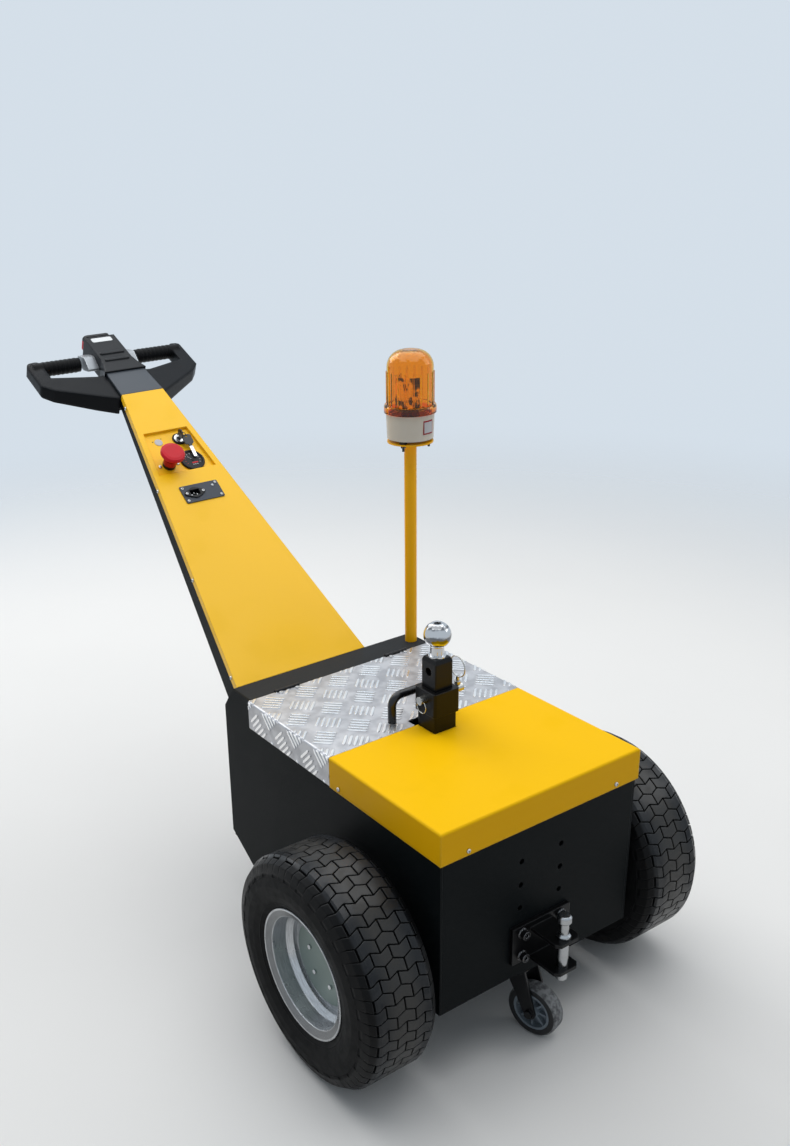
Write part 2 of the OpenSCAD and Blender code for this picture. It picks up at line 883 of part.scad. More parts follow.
// The cross pin with its pull ring
module cross_pin() {
    color([0.75, 0.75, 0.76]) placed() translate([0, receiver_y, cross_z]) difference() {
        union() {
            bar_x(cross_d, -cross_in, cross_out);
            translate([pull_in - cross_in, 0, -pull_ring_d / 2]) rotate([0, 90, 0])
                rotate_extrude() translate([pull_ring_d / 2, 0]) circle(d = pull_wire, $fn = 16);
        }
        translate([linch_x, 0, -cross_d]) cylinder(d = linch_d + 2 * run_fit, h = 2 * cross_d);
    }
}
module linch_pin() {
    color([0.7, 0.68, 0.64]) placed() translate([linch_x, receiver_y, cross_z]) {
        translate([0, 0, -linch_l * linch_low_share]) cylinder(d = linch_d, h = linch_l);
        translate([0, 0, cross_d / 2 + fit]) cylinder(d = linch_d * 2, h = linch_d);
        translate([0, 0, linch_l * (1 - linch_low_share)]) rotate([90, 0, 90]) linch_ring();
    }
}
// The wire ring of the linch pin, seen along X
module linch_ring() {
    translate([0, ring_d / 2 - ring_wire / 2, 0])
        rotate_extrude() translate([ring_d / 2, 0]) circle(d = ring_wire, $fn = 16);
}

// The clevis bolted to the front panel
module tow_bracket() {
    face = panel_y - bracket_t;
    color([0.05, 0.05, 0.05]) placed() difference() {
        union() {
            translate([-bracket_w / 2, face, bracket_z - bracket_h / 2])
                cube([bracket_w, bracket_t, bracket_h]);
            for (z = [ear_top, ear_top - ear_t - ear_gap]) translate([0, face, z - ear_t])
                linear_extrude(ear_t) polygon([[-ear_w / 2, 0], [-ear_w / 2, ear_chamfer - ear_l],
                    [ear_chamfer - ear_w / 2, -ear_l], [ear_w / 2 - ear_chamfer, -ear_l],
                    [ear_w / 2, ear_chamfer - ear_l], [ear_w / 2, 0]]);
        }
        translate([0, pin_y, ear_top - ear_gap - 3 * ear_t])
            cylinder(d = drop_pin_d + fit, h = ear_gap + 4 * ear_t);
        for (row = [rows - 2:rows - 1], side = [-1, 1]) hole_place(row, side)
            bar_y(hole_d, -bracket_t - cut, cut);
    }
}
// Socket head bolts with washers outside and nuts inside
module bracket_bolts() {
    color([0.16, 0.16, 0.17]) placed() for (row = [rows - 2:rows - 1], side = [-1, 1])
        hole_place(row, side) difference() {
            union() {
                bar_y(bolt_d, -bracket_t - washer_t - bolt_head_h, body_t + nut_h + bolt_tail);
                bar_y(washer_d, -bracket_t - washer_t, -bracket_t);
                bar_y(bolt_head_d, -bracket_t - washer_t - bolt_head_h, -bracket_t - washer_t);
                rotate([-90, 0, 0]) translate([0, 0, body_t])
                    cylinder(d = nut_d, h = nut_h, $fn = 6);
            }
            rotate([90, 0, 0]) translate([0, 0, bracket_t + washer_t + bolt_head_h / 2])
                cylinder(d = bolt_key_d, h = bolt_head_h, $fn = 6);
        }
}
// The lift-out pin with its waisted head
module drop_pin() {
    low = ear_top - ear_gap - 2 * ear_t - pin_tail;
    color([0.8, 0.8, 0.82]) placed() translate([0, pin_y, 0]) rotate_extrude() polygon([
        [0, low], [drop_pin_d / 2 - pin_bevel, low], [drop_pin_d / 2, low + pin_bevel],
        [drop_pin_d / 2, ear_top], [pin_head_d / 2, ear_top],
        [pin_head_d / 2, ear_top + pin_collar_h - pin_bevel],
        [pin_waist_d / 2, ear_top + pin_collar_h + pin_bevel],
        [pin_waist_d / 2, ear_top + pin_rise - pin_head_h - pin_round],
        [pin_head_d / 2, ear_top + pin_rise - pin_head_h], [pin_head_d / 2,
            ear_top + pin_rise - pin_round],
        [pin_head_d / 2 - pin_round, ear_top + pin_rise], [0, ear_top + pin_rise]]);
}

// Casters: both are the same, under the floor pan
caster_top = ground_gap;
race_z = caster_top - plate_t - race_h;
crown_z = race_z - fit;
module at_front_caster() {
    placed() translate([0, front_caster_y, 0]) rotate([0, 0, front_swivel]) children();
}
module at_rear_caster() {
    placed() translate([0, rear_caster_y, 0]) children();
}
module caster_plate(y) {
    color([0.06, 0.06, 0.06]) placed() translate([0, y, 0]) difference() {
        union() {
            translate([0, 0, caster_top - plate_t]) linear_extrude(plate_t)
                round_rect(plate_w, plate_l, plate_t);
            translate([0, 0, race_z]) cylinder(d1 = race_low_d, d2 = race_d, h = race_h);
        }
        translate([0, 0, race_z - cut]) cylinder(d = caster_bolt_d + 2 * run_fit, h = race_h + plate_t);
        for (x = [-1, 1], k = [-1, 1])
            translate([x * (plate_w / 2 - plate_hole_in), k * (plate_l / 2 - plate_hole_in), 0])
            translate([0, 0, caster_top - plate_t - cut])
                cylinder(d = plate_hole_d, h = plate_t + 2 * cut);
    }
}
module front_caster_plate() { caster_plate(front_caster_y); }
module rear_caster_plate() { caster_plate(rear_caster_y); }
// The fork: a crown, two tapering legs, the king bolt and the axle bolt
module caster_fork() {
    half = caster_hub_l / 2 + fork_gap / 2;
    crown_w = 2 * half + 2 * fork_t;
    color([0.05, 0.05, 0.05]) {
        translate([0, 0, crown_z - fork_t]) linear_extrude(fork_t) hull() {
            circle(d = crown_d, $fn = blend_fn);
            square([crown_w, race_low_d], center = true);
        }
        translate([0, 0, crown_z - cut / 2]) cylinder(d = caster_bolt_d, h = race_h + cut);
        translate([0, 0, crown_z - fork_t - king_nut_h])
            cylinder(d = king_nut_d, h = king_nut_h, $fn = 6);
        for (side = [-1, 1]) translate([side * (half + fork_t / 2), 0, 0]) across(fork_t) hull() {
            translate([-caster_trail, caster_r]) circle(leg_end_r, $fn = blend_fn);
            translate([-race_low_d / 2, crown_z - fork_t]) square([race_low_d, fork_t]);
        }
        translate([0, -caster_trail, caster_r]) {
            bar_x(caster_bolt_d, -half - fork_t - axle_nut_h, half + fork_t + axle_nut_h);
            for (side = [-1, 1]) translate([side * (half + fork_t), 0, 0]) rotate([0, side * 90, 0])
                cylinder(d = axle_nut_d, h = axle_nut_h, $fn = 6);
        }
    }
}
module front_caster_fork() { at_front_caster() caster_fork(); }
module rear_caster_fork() { at_rear_caster() caster_fork(); }
// The spoked plastic core
module caster_wheel() {
    web = caster_w / 3;
    core_r = caster_core_d / 2;
    color([0.45, 0.47, 0.5]) translate([0, -caster_trail, caster_r]) rotate([0, 90, 0]) {
        rotate_extrude() {
            translate([core_r - core_rim_t, -caster_w / 2 + core_inset])
                square([core_rim_t, caster_w - 2 * core_inset]);
            translate([caster_bolt_d / 2 + run_fit, -caster_hub_l / 2])
                square([core_hub_t, caster_hub_l]);
            translate([caster_bolt_d / 2 + run_fit, -core_web_t / 2])
                square([core_r - core_hub_t, core_web_t]);
        }
        for (i = [0:caster_spokes - 1]) rotate([0, 0, i * 360 / caster_spokes])
            translate([caster_bolt_d, -spoke_t / 2, -web])
                cube([core_r - caster_bolt_d - core_web_t, spoke_t, 2 * web]);
    }
}
module front_caster_wheel() { at_front_caster() caster_wheel(); }
module rear_caster_wheel() { at_rear_caster() caster_wheel(); }
module caster_tyre() {
    core_r = caster_core_d / 2;
    half = caster_w / 2;
    color([0.1, 0.1, 0.1]) translate([0, -caster_trail, caster_r]) rotate([0, 90, 0]) rotate_extrude() {
        translate([core_r, -half]) square([caster_r - core_r - caster_round, caster_w]);
        translate([caster_r - caster_round, -half + caster_round])
            square([caster_round, caster_w - 2 * caster_round]);
        for (k = [-1, 1]) translate([caster_r - caster_round, k * (half - caster_round)])
            circle(caster_round);
    }
}
module front_caster_tyre() { at_front_caster() caster_tyre(); }
module rear_caster_tyre() { at_rear_caster() caster_tyre(); }

// Drive wheels; side is -1 at the left
module at_wheel(side) {
    placed() translate([side * track_w / 2, axle_y, wheel_z]) rotate([0, side * 90, 0]) children();
}
// Half of the tyre's section, as radius and width
function tyre_side(top) =
    let (half = tyre_w / 2, rim_half = tyre_w * rim_half_share, tall = top - bead_r)
    concat([[bead_r, rim_half - flange_lip - fit], [rim_d / 2, rim_half - rim_t - fit]],
    [for (share = sidewall_shares) [bead_r + tall * share[0], half * share[1]]],
    [[top - shoulder_drop, half * shoulder_share], [top, half * crown_share]]);
module tyre_body(top) {
    upper = tyre_side(top);
    rotate_extrude() polygon(concat(upper,
        [for (i = [len(upper) - 1:-1:0]) [upper[i].x, -upper[i].y]]));
}
// The turf tread: pairs of rows round the tyre, the second set half a block aside
module tyre(side) {
    color([0.07, 0.07, 0.075]) at_wheel(side) {
        tyre_body(tyre_d / 2 - tread_depth);
        intersection() {
            tyre_body(tyre_d / 2);
            for (i = [0:tread_pairs - 1]) rotate([0, 0, tread_turn + i * 360 / tread_pairs]) {
                for (k = [-2:2]) translate([0, 0, k * block_w]) tread_block(1);
                rotate([0, 0, 180 / tread_pairs])
                    for (k = [-1.5:1.5]) translate([0, 0, k * block_w]) tread_block(-1);
            }
        }
    }
}
// One block, bent at its middle; up is 1 where it points ahead, else -1
module tread_block(up) {
    half = (block_w - joint_w) / 2;
    tall = (PI * tyre_d / tread_pairs / 2 - groove_w) / 2;
    mid = up * block_bend / 2;
    edge = -mid * (1 - 2 * joint_w / block_w);
    translate([tyre_d / 2 - block_root, 0, 0]) rotate([90, 0, 90]) linear_extrude(block_root + cut)
        polygon([[edge - tall, -half], [mid - tall, 0], [edge - tall, half],
            [edge + tall, half], [mid + tall, 0], [edge + tall, -half]]);
}
module tyre_left() { tyre(-1); }
module tyre_right() { tyre(1); }
// A pressed steel rim: two flanges, bead seats, a well and the disc
module rim(side) {
    half = tyre_w * rim_half_share;
    r = rim_d / 2;
    disc = half - dish_depth;
    seat_r = bead_r - run_fit;
    in_r = well_r - rim_t;
    color([0.72, 0.73, 0.74]) at_wheel(side) rotate_extrude($fn = 96) polygon([
        [r, half], [r, half - rim_t], [seat_r, half - flange_lip], [seat_r, half * well_out_share],
        [well_r, half * well_share], [well_r, -half * well_share], [seat_r, -half * well_out_share],
        [seat_r, flange_lip - half], [r, rim_t - half], [r, -half], [r - rim_t, -half],
        [seat_r - rim_t, flange_lip - rim_t - half], [seat_r - rim_t, -half * well_out_share - rim_t],
        [in_r, -half * well_share - rim_t], [in_r, disc - disc_t], [shaft_d, disc - disc_t],
        [shaft_d, disc], [in_r, disc], [in_r, half * well_share + rim_t],
        [seat_r - rim_t, half * well_out_share + rim_t], [seat_r - rim_t, half - flange_lip + rim_t],
        [r - rim_t, half]]);
}
module rim_left() { rim(-1); }
module rim_right() { rim(1); }
// The hub: a round disc screwed to the rim, its boss and the drive shaft
module hub(side) {
    half = tyre_w * rim_half_share;
    disc = half - dish_depth;
    inner = inner_half - track_w / 2;
    color([0.55, 0.6, 0.57]) at_wheel(side) {
        translate([0, 0, disc]) cylinder(d = hub_disc_d, h = hub_disc_h);
        translate([0, 0, disc - disc_t - hub_boss_h])
            cylinder(r = shaft_d - run_fit, h = disc_t + hub_boss_h + cut);
        translate([0, 0, disc - disc_t - drum_h]) cylinder(d = drum_d, h = drum_h - fit);
        translate([0, 0, inner - shaft_seat]) cylinder(d = shaft_d, h = disc - inner + shaft_seat);
        for (i = [0:hub_screws - 1]) rotate([0, 0, hub_screw_turn + i * 360 / hub_screws])
            translate([hub_screw_pcd / 2, 0, disc]) cylinder(d = screw_d, h = hub_disc_h + screw_h);
    }
}
module hub_left() { hub(-1); }
module hub_right() { hub(1); }
// Two geared motors bolted to the side panels from inside
module drive_motors() {
    color([0.3, 0.31, 0.33]) for (side = [-1, 1]) placed() {
        translate([side * inner_half, axle_y, wheel_z]) rotate([0, -side * 90, 0]) difference() {
            union() {
                cylinder(d = flange_d, h = flange_t);
                cylinder(d = motor_d, h = motor_l * motor_step_share);
                cylinder(d = motor_d * motor_rear_share, h = motor_l);
            }
            bore(shaft_d + 2 * run_fit, shaft_seat);
        }
        for (i = [0:motor_bolts - 1]) motor_bolt_place(i) translate([side * body_half, 0, 0])
            rotate([0, side * 90, 0]) cylinder(d = bolt_head_d, h = nut_h, $fn = 6);
        for (i = [0:motor_bolts - 1]) motor_bolt_place(i)
            bar_x(bolt_d, side > 0 ? inner_half - cut : -body_half - cut,
                side > 0 ? body_half + cut : -inner_half + cut);
    }
}

// The arm's own frame: Y up the slope, Z out of its face
module on_arm() {
    placed() translate([arm_x, bar_y1, deck_h]) rotate([arm_rise, 0, 0]) children();
}
function arm_half(s) = arm_base_w / 2 - slope_share * s;
module arm_outline(inset, s0, s1) {
    polygon([[-arm_half(s0) + inset, s0], [arm_half(s0) - inset, s0],
        [arm_half(s1) - inset, s1], [-arm_half(s1) + inset, s1]]);
}
// Cuts the arm's underside along its tapering depth
module depth_profile(d0, d1, s1) {
    across(2 * arm_base_w) polygon([[0, 0], [s1, 0], [s1, -d1], [0, -d0]]);
}
module arm_channel() {
    side = cover_t + fit;
    color([0.08, 0.08, 0.085]) on_arm() difference() {
        intersection() {
            translate([0, 0, -arm_base_depth]) linear_extrude(arm_base_depth - side)
                arm_outline(side, fit, arm_l);
            depth_profile(arm_base_depth, arm_top_depth, arm_l);
        }
        intersection() {
            translate([0, 0, -arm_base_depth]) linear_extrude(arm_base_depth)
                arm_outline(side + channel_t, channel_t + fit, arm_l + cut);
            depth_profile(arm_base_depth - channel_t, arm_top_depth - channel_t, arm_l + cut);
        }
        for (share = cover_screw_shares, k = [-1, 1]) cover_screw_place(share, k)
            translate([0, 0, -channel_t - side - cut])
                cylinder(d = screw_d / 2 + fit, h = channel_t + side + 2 * cut);
    }
}
// Places along the two side flanges of the cover
module cover_screw_place(share, k) {
    s = arm_l * share;
    translate([k * (arm_half(s) + run_fit), s, -cover_flange / 2])
        rotate([0, 0, k * atan(slope_share)]) rotate([0, k * 90, 0]) children();
}
module recess_outline(inset) {
    m = recess_margin + inset;
    polygon([[-arm_half(recess_s0) + m, recess_s0 + inset], [arm_half(recess_s0) - m, recess_s0 + inset],
        [arm_half(recess_s1) - m, recess_s1 - inset], [-arm_half(recess_s1) + m, recess_s1 - inset]]);
}
// The yellow cover, a shallow folded pan with a sunken control panel
module arm_cover() {
    color([0.98, 0.74, 0.12]) on_arm() difference() {
        union() {
            difference() {
                translate([0, 0, -cover_flange]) linear_extrude(cover_flange) arm_outline(0, fit, arm_l);
                translate([0, 0, -cover_flange - cut]) linear_extrude(cover_flange + cut - cover_t)
                    arm_outline(cover_t, -cut, arm_l + cut);
            }
            translate([0, 0, -recess_depth - cover_t]) linear_extrude(recess_depth + cover_t)
                recess_outline(-cover_t);
        }
        translate([0, 0, -recess_depth]) linear_extrude(recess_depth + cut) recess_outline(0);
        translate([estop_dx, estop_s, -recess_depth - cover_t - cut])
            cylinder(d = estop_stem_d, h = cover_t + 2 * cut);
        translate([gauge_dx, gauge_s, -recess_depth - cover_t - cut])
            cylinder(d = gauge_body_d + fit, h = cover_t + 2 * cut);
        translate([key_dx, key_s, -recess_depth - cover_t - cut])
            cylinder(d = key_body_d, h = cover_t + 2 * cut);
        translate([charge_dx + inlet_dx, charge_s, -cover_t - cut]) linear_extrude(cover_t + 2 * cut)
            square([inlet_w + 2 * cut, inlet_l + 2 * cut], center = true);
        estop_screw_places() translate([0, 0, -cover_t - cut])
            cylinder(d = screw_d / 2 + fit, h = cover_t + 2 * cut);
        for (share = cover_screw_shares, k = [-1, 1]) cover_screw_place(share, k)
            translate([0, 0, -cover_t - cut]) cylinder(d = screw_d / 2 + fit, h = cover_t + 2 * cut);
    }
}
module estop_screw_places() {
    for (k = [-1, 1]) translate([estop_dx + k * estop_screw_x, estop_s, -recess_depth]) children();
}
module plate_screw_places() {
    for (x = [-1, 1], y = [-1, 1])
        translate([charge_dx + x * (charge_w / 2 - plate_screw_in),
            charge_s + y * (charge_l / 2 - plate_screw_in), charge_t]) children();
    for (x = [-1, 1]) translate([charge_dx + inlet_dx + x * (inlet_flange_w / 2 - inlet_end_r),
        charge_s, charge_t + inlet_flange_t]) children();
}
module arm_screws() {
    color([0.7, 0.7, 0.7]) on_arm() {
        for (share = cover_screw_shares, k = [-1, 1]) cover_screw_place(share, k)
            pan_screw(screw_d, screw_h, cover_t + fit + channel_t);
        estop_screw_places() pan_screw(screw_d, screw_h, cover_t);
        plate_screw_places() pan_screw(small_screw_d, small_screw_h, charge_t / 2);
    }
}
// The stop button's collar and the contact block behind the panel
module estop_base() {
    color([0.05, 0.05, 0.05]) on_arm() translate([estop_dx, estop_s, -recess_depth]) difference() {
        union() {
            cylinder(d = estop_collar_d, h = estop_collar_h);
            translate([0, 0, -cover_t - cut]) cylinder(d = estop_stem_d - fit, h = cover_t + 2 * cut);
            translate([0, 0, -cover_t - estop_block_h]) cylinder(d = estop_block_d, h = estop_block_h);
        }
        translate([0, 0, estop_floor]) cylinder(d = estop_bore_d, h = estop_collar_h);
    }
}
module estop_knob() {
    r = mushroom_d / 2;
    stem = estop_bore_d / 2 - run_fit;
    low = -estop_travel - knob_tail;
    color([0.8, 0.12, 0.13]) on_arm()
        translate([estop_dx, estop_s, -recess_depth + estop_collar_h + estop_travel + fit])
        rotate_extrude() polygon(concat([[0, low], [stem, low], [stem, 0], [stem + knob_lip, 0]],
            [for (share = mushroom_shares) [r * share[0], mushroom_h * share[1]]], [[0, mushroom_h]]));
}
module key_switch() {
    color([0.6, 0.6, 0.62]) on_arm() translate([key_dx, key_s, -recess_depth]) difference() {
        union() {
            cylinder(d = key_collar_d, h = key_collar_h);
            translate([0, 0, -cover_t - key_body_h])
                cylinder(d = key_body_d - fit, h = cover_t + key_body_h + cut);
        }
        translate([0, 0, key_seat - key_barrel_l - fit])
            cylinder(d = key_barrel_d + 2 * run_fit, h = key_barrel_l);
    }
}
// The key in its barrel, and the spare that hangs from the same ring
module key() {
    side_z = key_hole_z - key_ring_r * arm_c;
    drop = side_z - gauge_h - fit - key_t / 2;
    tilt = asin(drop / (key_fob_l + key_blade_l));
    color([0.1, 0.1, 0.1]) on_arm() translate([key_dx, key_s, -recess_depth]) {
        translate([0, 0, key_seat - key_barrel_l]) cylinder(d = key_barrel_d, h = key_barrel_l);
        translate([0, 0, key_seat - cut]) across(key_t) key_profile(key_hole_z - key_seat + cut);
        translate([0, 0, key_hole_z]) rotate([-arm_rise, 0, 0]) translate([0, 0, -key_ring_r])
            rotate([90, 0, 0]) rotate_extrude() translate([key_ring_r, 0])
                circle(d = key_wire, $fn = 16);
        translate([key_ring_r, -key_ring_r * arm_s, side_z]) rotate([tilt, 0, 0])
            translate([0, 0, -key_t / 2]) linear_extrude(key_t) spare_outline();
    }
}
// The key in use: its shank and its round bow
module key_profile(h) {
    translate([-key_shank_w / 2, 0]) square([key_shank_w, h - key_bow_r]);
    difference() {
        translate([0, h - key_bow_r + key_hole_in]) circle(key_bow_r);
        translate([0, h]) circle(key_hole_r);
    }
}
// The spare key, with its hole at the origin
module spare_outline() {
    difference() {
        translate([0, key_hole_in - key_fob_l / 2]) round_rect(2 * key_bow_r, key_fob_l, key_hole_in);
        circle(key_hole_r);
    }
    translate([-key_shank_w / 2, key_hole_in - key_fob_l - key_blade_l])
        square([key_shank_w, key_blade_l + cut]);
}
module gauge() {
    color([0.05, 0.05, 0.05]) on_arm() translate([gauge_dx, gauge_s, -recess_depth]) difference() {
        union() {
            rotate_extrude() polygon([[0, 0], [gauge_d / 2, 0], [gauge_d / 2, gauge_h - gauge_bevel],
                [gauge_d / 2 - gauge_bevel, gauge_h], [0, gauge_h]]);
            translate([0, 0, -gauge_body_h]) cylinder(d = gauge_body_d, h = gauge_body_h + cut);
        }
        translate([0, 0, gauge_h - gauge_sink]) cylinder(d = gauge_glass_d, h = gauge_sink + cut);
    }
}
// The plate that carries the charging inlet
module charge_plate() {
    color([0.1, 0.11, 0.12]) on_arm() translate([charge_dx, charge_s, 0]) difference() {
        linear_extrude(charge_t) round_rect(charge_w, charge_l, plate_r);
        translate([inlet_dx, 0, -cut]) linear_extrude(charge_t + 2 * cut)
            square([inlet_w + fit, inlet_l + fit], center = true);
        plate_holes();
    }
}
module plate_holes() {
    translate([-charge_dx, -charge_s, -charge_t]) plate_screw_places()
        translate([0, 0, -charge_t - inlet_flange_t - cut])
        cylinder(d = small_screw_d / 2 + fit, h = 2 * charge_t + 2 * inlet_flange_t);
}
module charge_inlet() {
    color([0.03, 0.03, 0.03]) on_arm() translate([charge_dx + inlet_dx, charge_s, charge_t])
        difference() {
        union() {
            linear_extrude(inlet_flange_t) hull() {
                circle(d = inlet_boss_d, $fn = blend_fn);
                for (k = [-1, 1]) translate([k * (inlet_flange_w / 2 - inlet_end_r), 0])
                    circle(inlet_end_r, $fn = blend_fn);
            }
            translate([0, 0, -inlet_depth]) linear_extrude(inlet_depth + cut)
                square([inlet_w, inlet_l], center = true);
        }
        translate([0, 0, inlet_floor - inlet_depth]) linear_extrude(inlet_depth)
            square([inlet_w - 2 * inlet_wall, inlet_l - 2 * inlet_wall], center = true);
        for (k = [-1, 1]) translate([k * (inlet_flange_w / 2 - inlet_end_r), 0, -cut])
            cylinder(d = small_screw_d / 2 + fit, h = inlet_flange_t + 2 * cut);
    }
}

// The head's own frame, bent down at the end of the arm
module on_head() {
    on_arm() translate([0, arm_l + fit, 0]) rotate([-neck_bend, 0, 0]) children();
}
module neck_cover() {
    color([0.12, 0.13, 0.14]) on_head() difference() {
        translate([0, 0, -neck_flange]) linear_extrude(neck_flange) neck_outline(0);
        translate([0, 0, -neck_flange - cut]) linear_extrude(neck_flange + cut - neck_t)
            neck_outline(neck_t);
        arm_end();
    }
}
// The space of the arm's end, in the head's frame
module arm_end() {
    rotate([neck_bend, 0, 0]) translate([0, -arm_l, -arm_base_depth]) linear_extrude(2 * arm_base_depth)
        arm_outline(-fit, arm_l - arm_top_w, arm_l);
}
module neck_outline(inset) {
    polygon([[-arm_top_w / 2 + inset, -inset], [arm_top_w / 2 - inset, -inset],
        [neck_w / 2 - inset, neck_l + inset], [-neck_w / 2 + inset, neck_l + inset]]);
}
// Half of the handle from above
module wing_outline() {
    tip = handle_w / 2;
    offset(corner_r) offset(delta = -corner_r) polygon([[spine_in, spine_t0],
        [tip - corner_in, tip_t0 - corner_low], [tip, tip_t0 + corner_up],
        [tip, grip_t + grip_d / 2], [tip - outer_w, grip_t + grip_d / 2],
        [tip - outer_w, tip_t1], [grip_in - opening_lap, spine_t1], [spine_in, spine_t1]]);
}
// Half of the handle from the front
module wing_profile() {
    tip = handle_w / 2;
    root = spine_in - wing_lap;
    offset(wing_r) offset(delta = -wing_r) polygon([[root, spine_top], [root, spine_top - spine_depth],
        [neck_w, spine_top - spine_depth - wing_sag], [tip, tip_top - tip_depth], [tip, tip_top],
        [neck_w, spine_top - wing_drop]]);
}
// The handle: a spine, two swept arms and two grips, cast in one piece
module handle_frame() {
    tip = handle_w / 2;
    reach = grip_t + grip_d;
    root = neck_w - 2 * neck_t - 2 * fit;
    wide = neck_w + 2 * head_lip + 2 * fit;
    color([0.07, 0.075, 0.08]) on_head() difference() {
        union() {
            translate([-root / 2, 0, spine_top - spine_depth])
                cube([root, neck_l - fit, spine_depth]);
            for (side = [-1, 1]) {
                intersection() {
                    translate([0, 0, -spine_depth * 2]) linear_extrude(spine_depth * 2)
                        scale([side, 1]) wing_outline($fn = blend_fn);
                    translate([0, reach, 0]) rotate([90, 0, 0]) linear_extrude(2 * reach)
                        scale([side, 1]) wing_profile($fn = blend_fn);
                }
                translate([0, grip_t, grip_n]) {
                    bar_x(grip_d, side > 0 ? grip_in : corner_r - tip,
                        side > 0 ? tip - corner_r : -grip_in);
                    for (i = [1:grip_ridges]) translate([side * (grip_in + i * grip_pitch), 0, 0])
                        bar_x(grip_d + 2 * grip_ridge_h, -grip_ridge_w / 2, grip_ridge_w / 2);
                }
            }
        }
        arm_end();
        translate([-wide / 2, neck_l - fit, -spine_depth * 2]) cube([wide, neck_l, spine_depth * 3]);
    }
}
// The head housing, with a raised lip and two ribs
module head_housing() {
    wide = neck_w + 2 * head_lip;
    low = -head_d;
    color([0.1, 0.105, 0.11]) on_head() difference() {
        union() {
            translate([0, 0, low]) linear_extrude(head_d + head_lip) polygon([[-wide / 2, neck_l],
                [wide / 2, neck_l], [head_w / 2 + head_lip, neck_l + shoulder_l],
                [head_w / 2, neck_l + taper_l], [head_w / 2, neck_end], [-head_w / 2, neck_end],
                [-head_w / 2, neck_l + taper_l], [-head_w / 2 - head_lip, neck_l + shoulder_l]]);
            for (t = rib_places) translate([0, neck_l + t, head_lip])
                linear_extrude(rib_h) round_rect(head_w * rib_share, rib_l, rib_end_r);
        }
        translate([0, throttle_t, throttle_n]) bar_x(throttle_shaft_d + 2 * run_fit, -head_w, head_w);
        translate([0, neck_end - socket_depth, (head_lip + low) / 2]) rotate([-90, 0, 0])
            linear_extrude(socket_depth + cut)
            square([belly_stem_w + 2 * fit, belly_stem_h + 2 * fit], center = true);
    }
}
// A butterfly throttle: a boss on the shaft with two curved wings
module throttle(side) {
    color([0.6, 0.62, 0.63]) on_head() translate([side * (head_w / 2 + fit), throttle_t, throttle_n])
        rotate([0, side * 90, 0]) {
            linear_extrude(throttle_l) hull() {
                circle(throttle_boss_r, $fn = blend_fn);
                for (k = [-1, 1]) translate([0, k * fin_reach]) circle(fin_end_r, $fn = blend_fn);
            }
            translate([0, 0, cut - head_w / 2]) cylinder(d = throttle_shaft_d, h = head_w / 2);
        }
}
module throttle_left() { throttle(-1); }
module throttle_right() { throttle(1); }
// The large safety button at the end of the head
module belly_button() {
    color([0.75, 0.08, 0.08]) on_head() translate([0, neck_end, (head_lip - head_d) / 2])
        rotate([-90, 0, 0]) {
        translate([0, 0, belly_travel + fit - socket_depth]) linear_extrude(socket_depth + fit)
            square([belly_stem_w, belly_stem_h], center = true);
        translate([0, 0, belly_travel + fit]) linear_extrude(belly_h - belly_travel)
            round_rect(belly_w, belly_l, belly_r);
    }
}

// The beacon on its pole
beacon_plate_z = deck_h + pole_h;
beacon_z = beacon_plate_z + beacon_plate_t + beacon_foot_h;
module at_pole(z) {
    placed() translate([pole_x, pole_y, z]) children();
}
module beacon_pole() {
    color([0.93, 0.66, 0.05]) at_pole(deck_h) difference() {
        cylinder(d = pole_d, h = pole_h);
        bore(pole_d - 2 * pole_wall, pole_h);
    }
}
module feet_places() {
    for (i = [0:beacon_feet_count - 1]) rotate([0, 0, 90 + i * 360 / beacon_feet_count])
        translate([beacon_feet_pcd / 2, 0, 0]) children();
}
module beacon_plate() {
    color([0.93, 0.66, 0.05]) at_pole(beacon_plate_z) difference() {
        cylinder(d = plate_d, h = beacon_plate_t);
        feet_places() bore(stud_d + fit, beacon_plate_t);
    }
}
module beacon_feet() {
    color([0.08, 0.08, 0.08]) at_pole(beacon_plate_z + beacon_plate_t) feet_places() difference() {
        cylinder(d1 = beacon_foot_d, d2 = beacon_foot_d + lens_t, h = beacon_foot_h);
        bore(stud_d + fit, beacon_foot_h);
    }
}
module beacon_nuts() {
    color([0.7, 0.7, 0.7]) at_pole(beacon_plate_z) feet_places() {
        translate([0, 0, -stud_nut_h]) cylinder(d = stud_nut_d, h = stud_nut_h, $fn = 6);
        translate([0, 0, -stud_tail]) cylinder(d = stud_d,
            h = stud_tail + beacon_plate_t + beacon_foot_h + base_floor - cut);
    }
}
module beacon_base() {
    top = beacon_base_h - collar_h;
    color([0.93, 0.91, 0.85]) at_pole(beacon_z) difference() {
        union() {
            cylinder(d1 = lens_d, d2 = beacon_d, h = top - lip_h);
            translate([0, 0, top - lip_h]) cylinder(d = beacon_d + lip_over, h = lip_h);
        }
        translate([0, 0, base_floor]) cylinder(d = base_bore_d, h = beacon_base_h);
        translate([0, 0, top - lens_seat]) cylinder(d = lens_d + fit, h = lens_seat + cut);
        feet_places() bore(stud_d + fit, base_floor);
    }
}
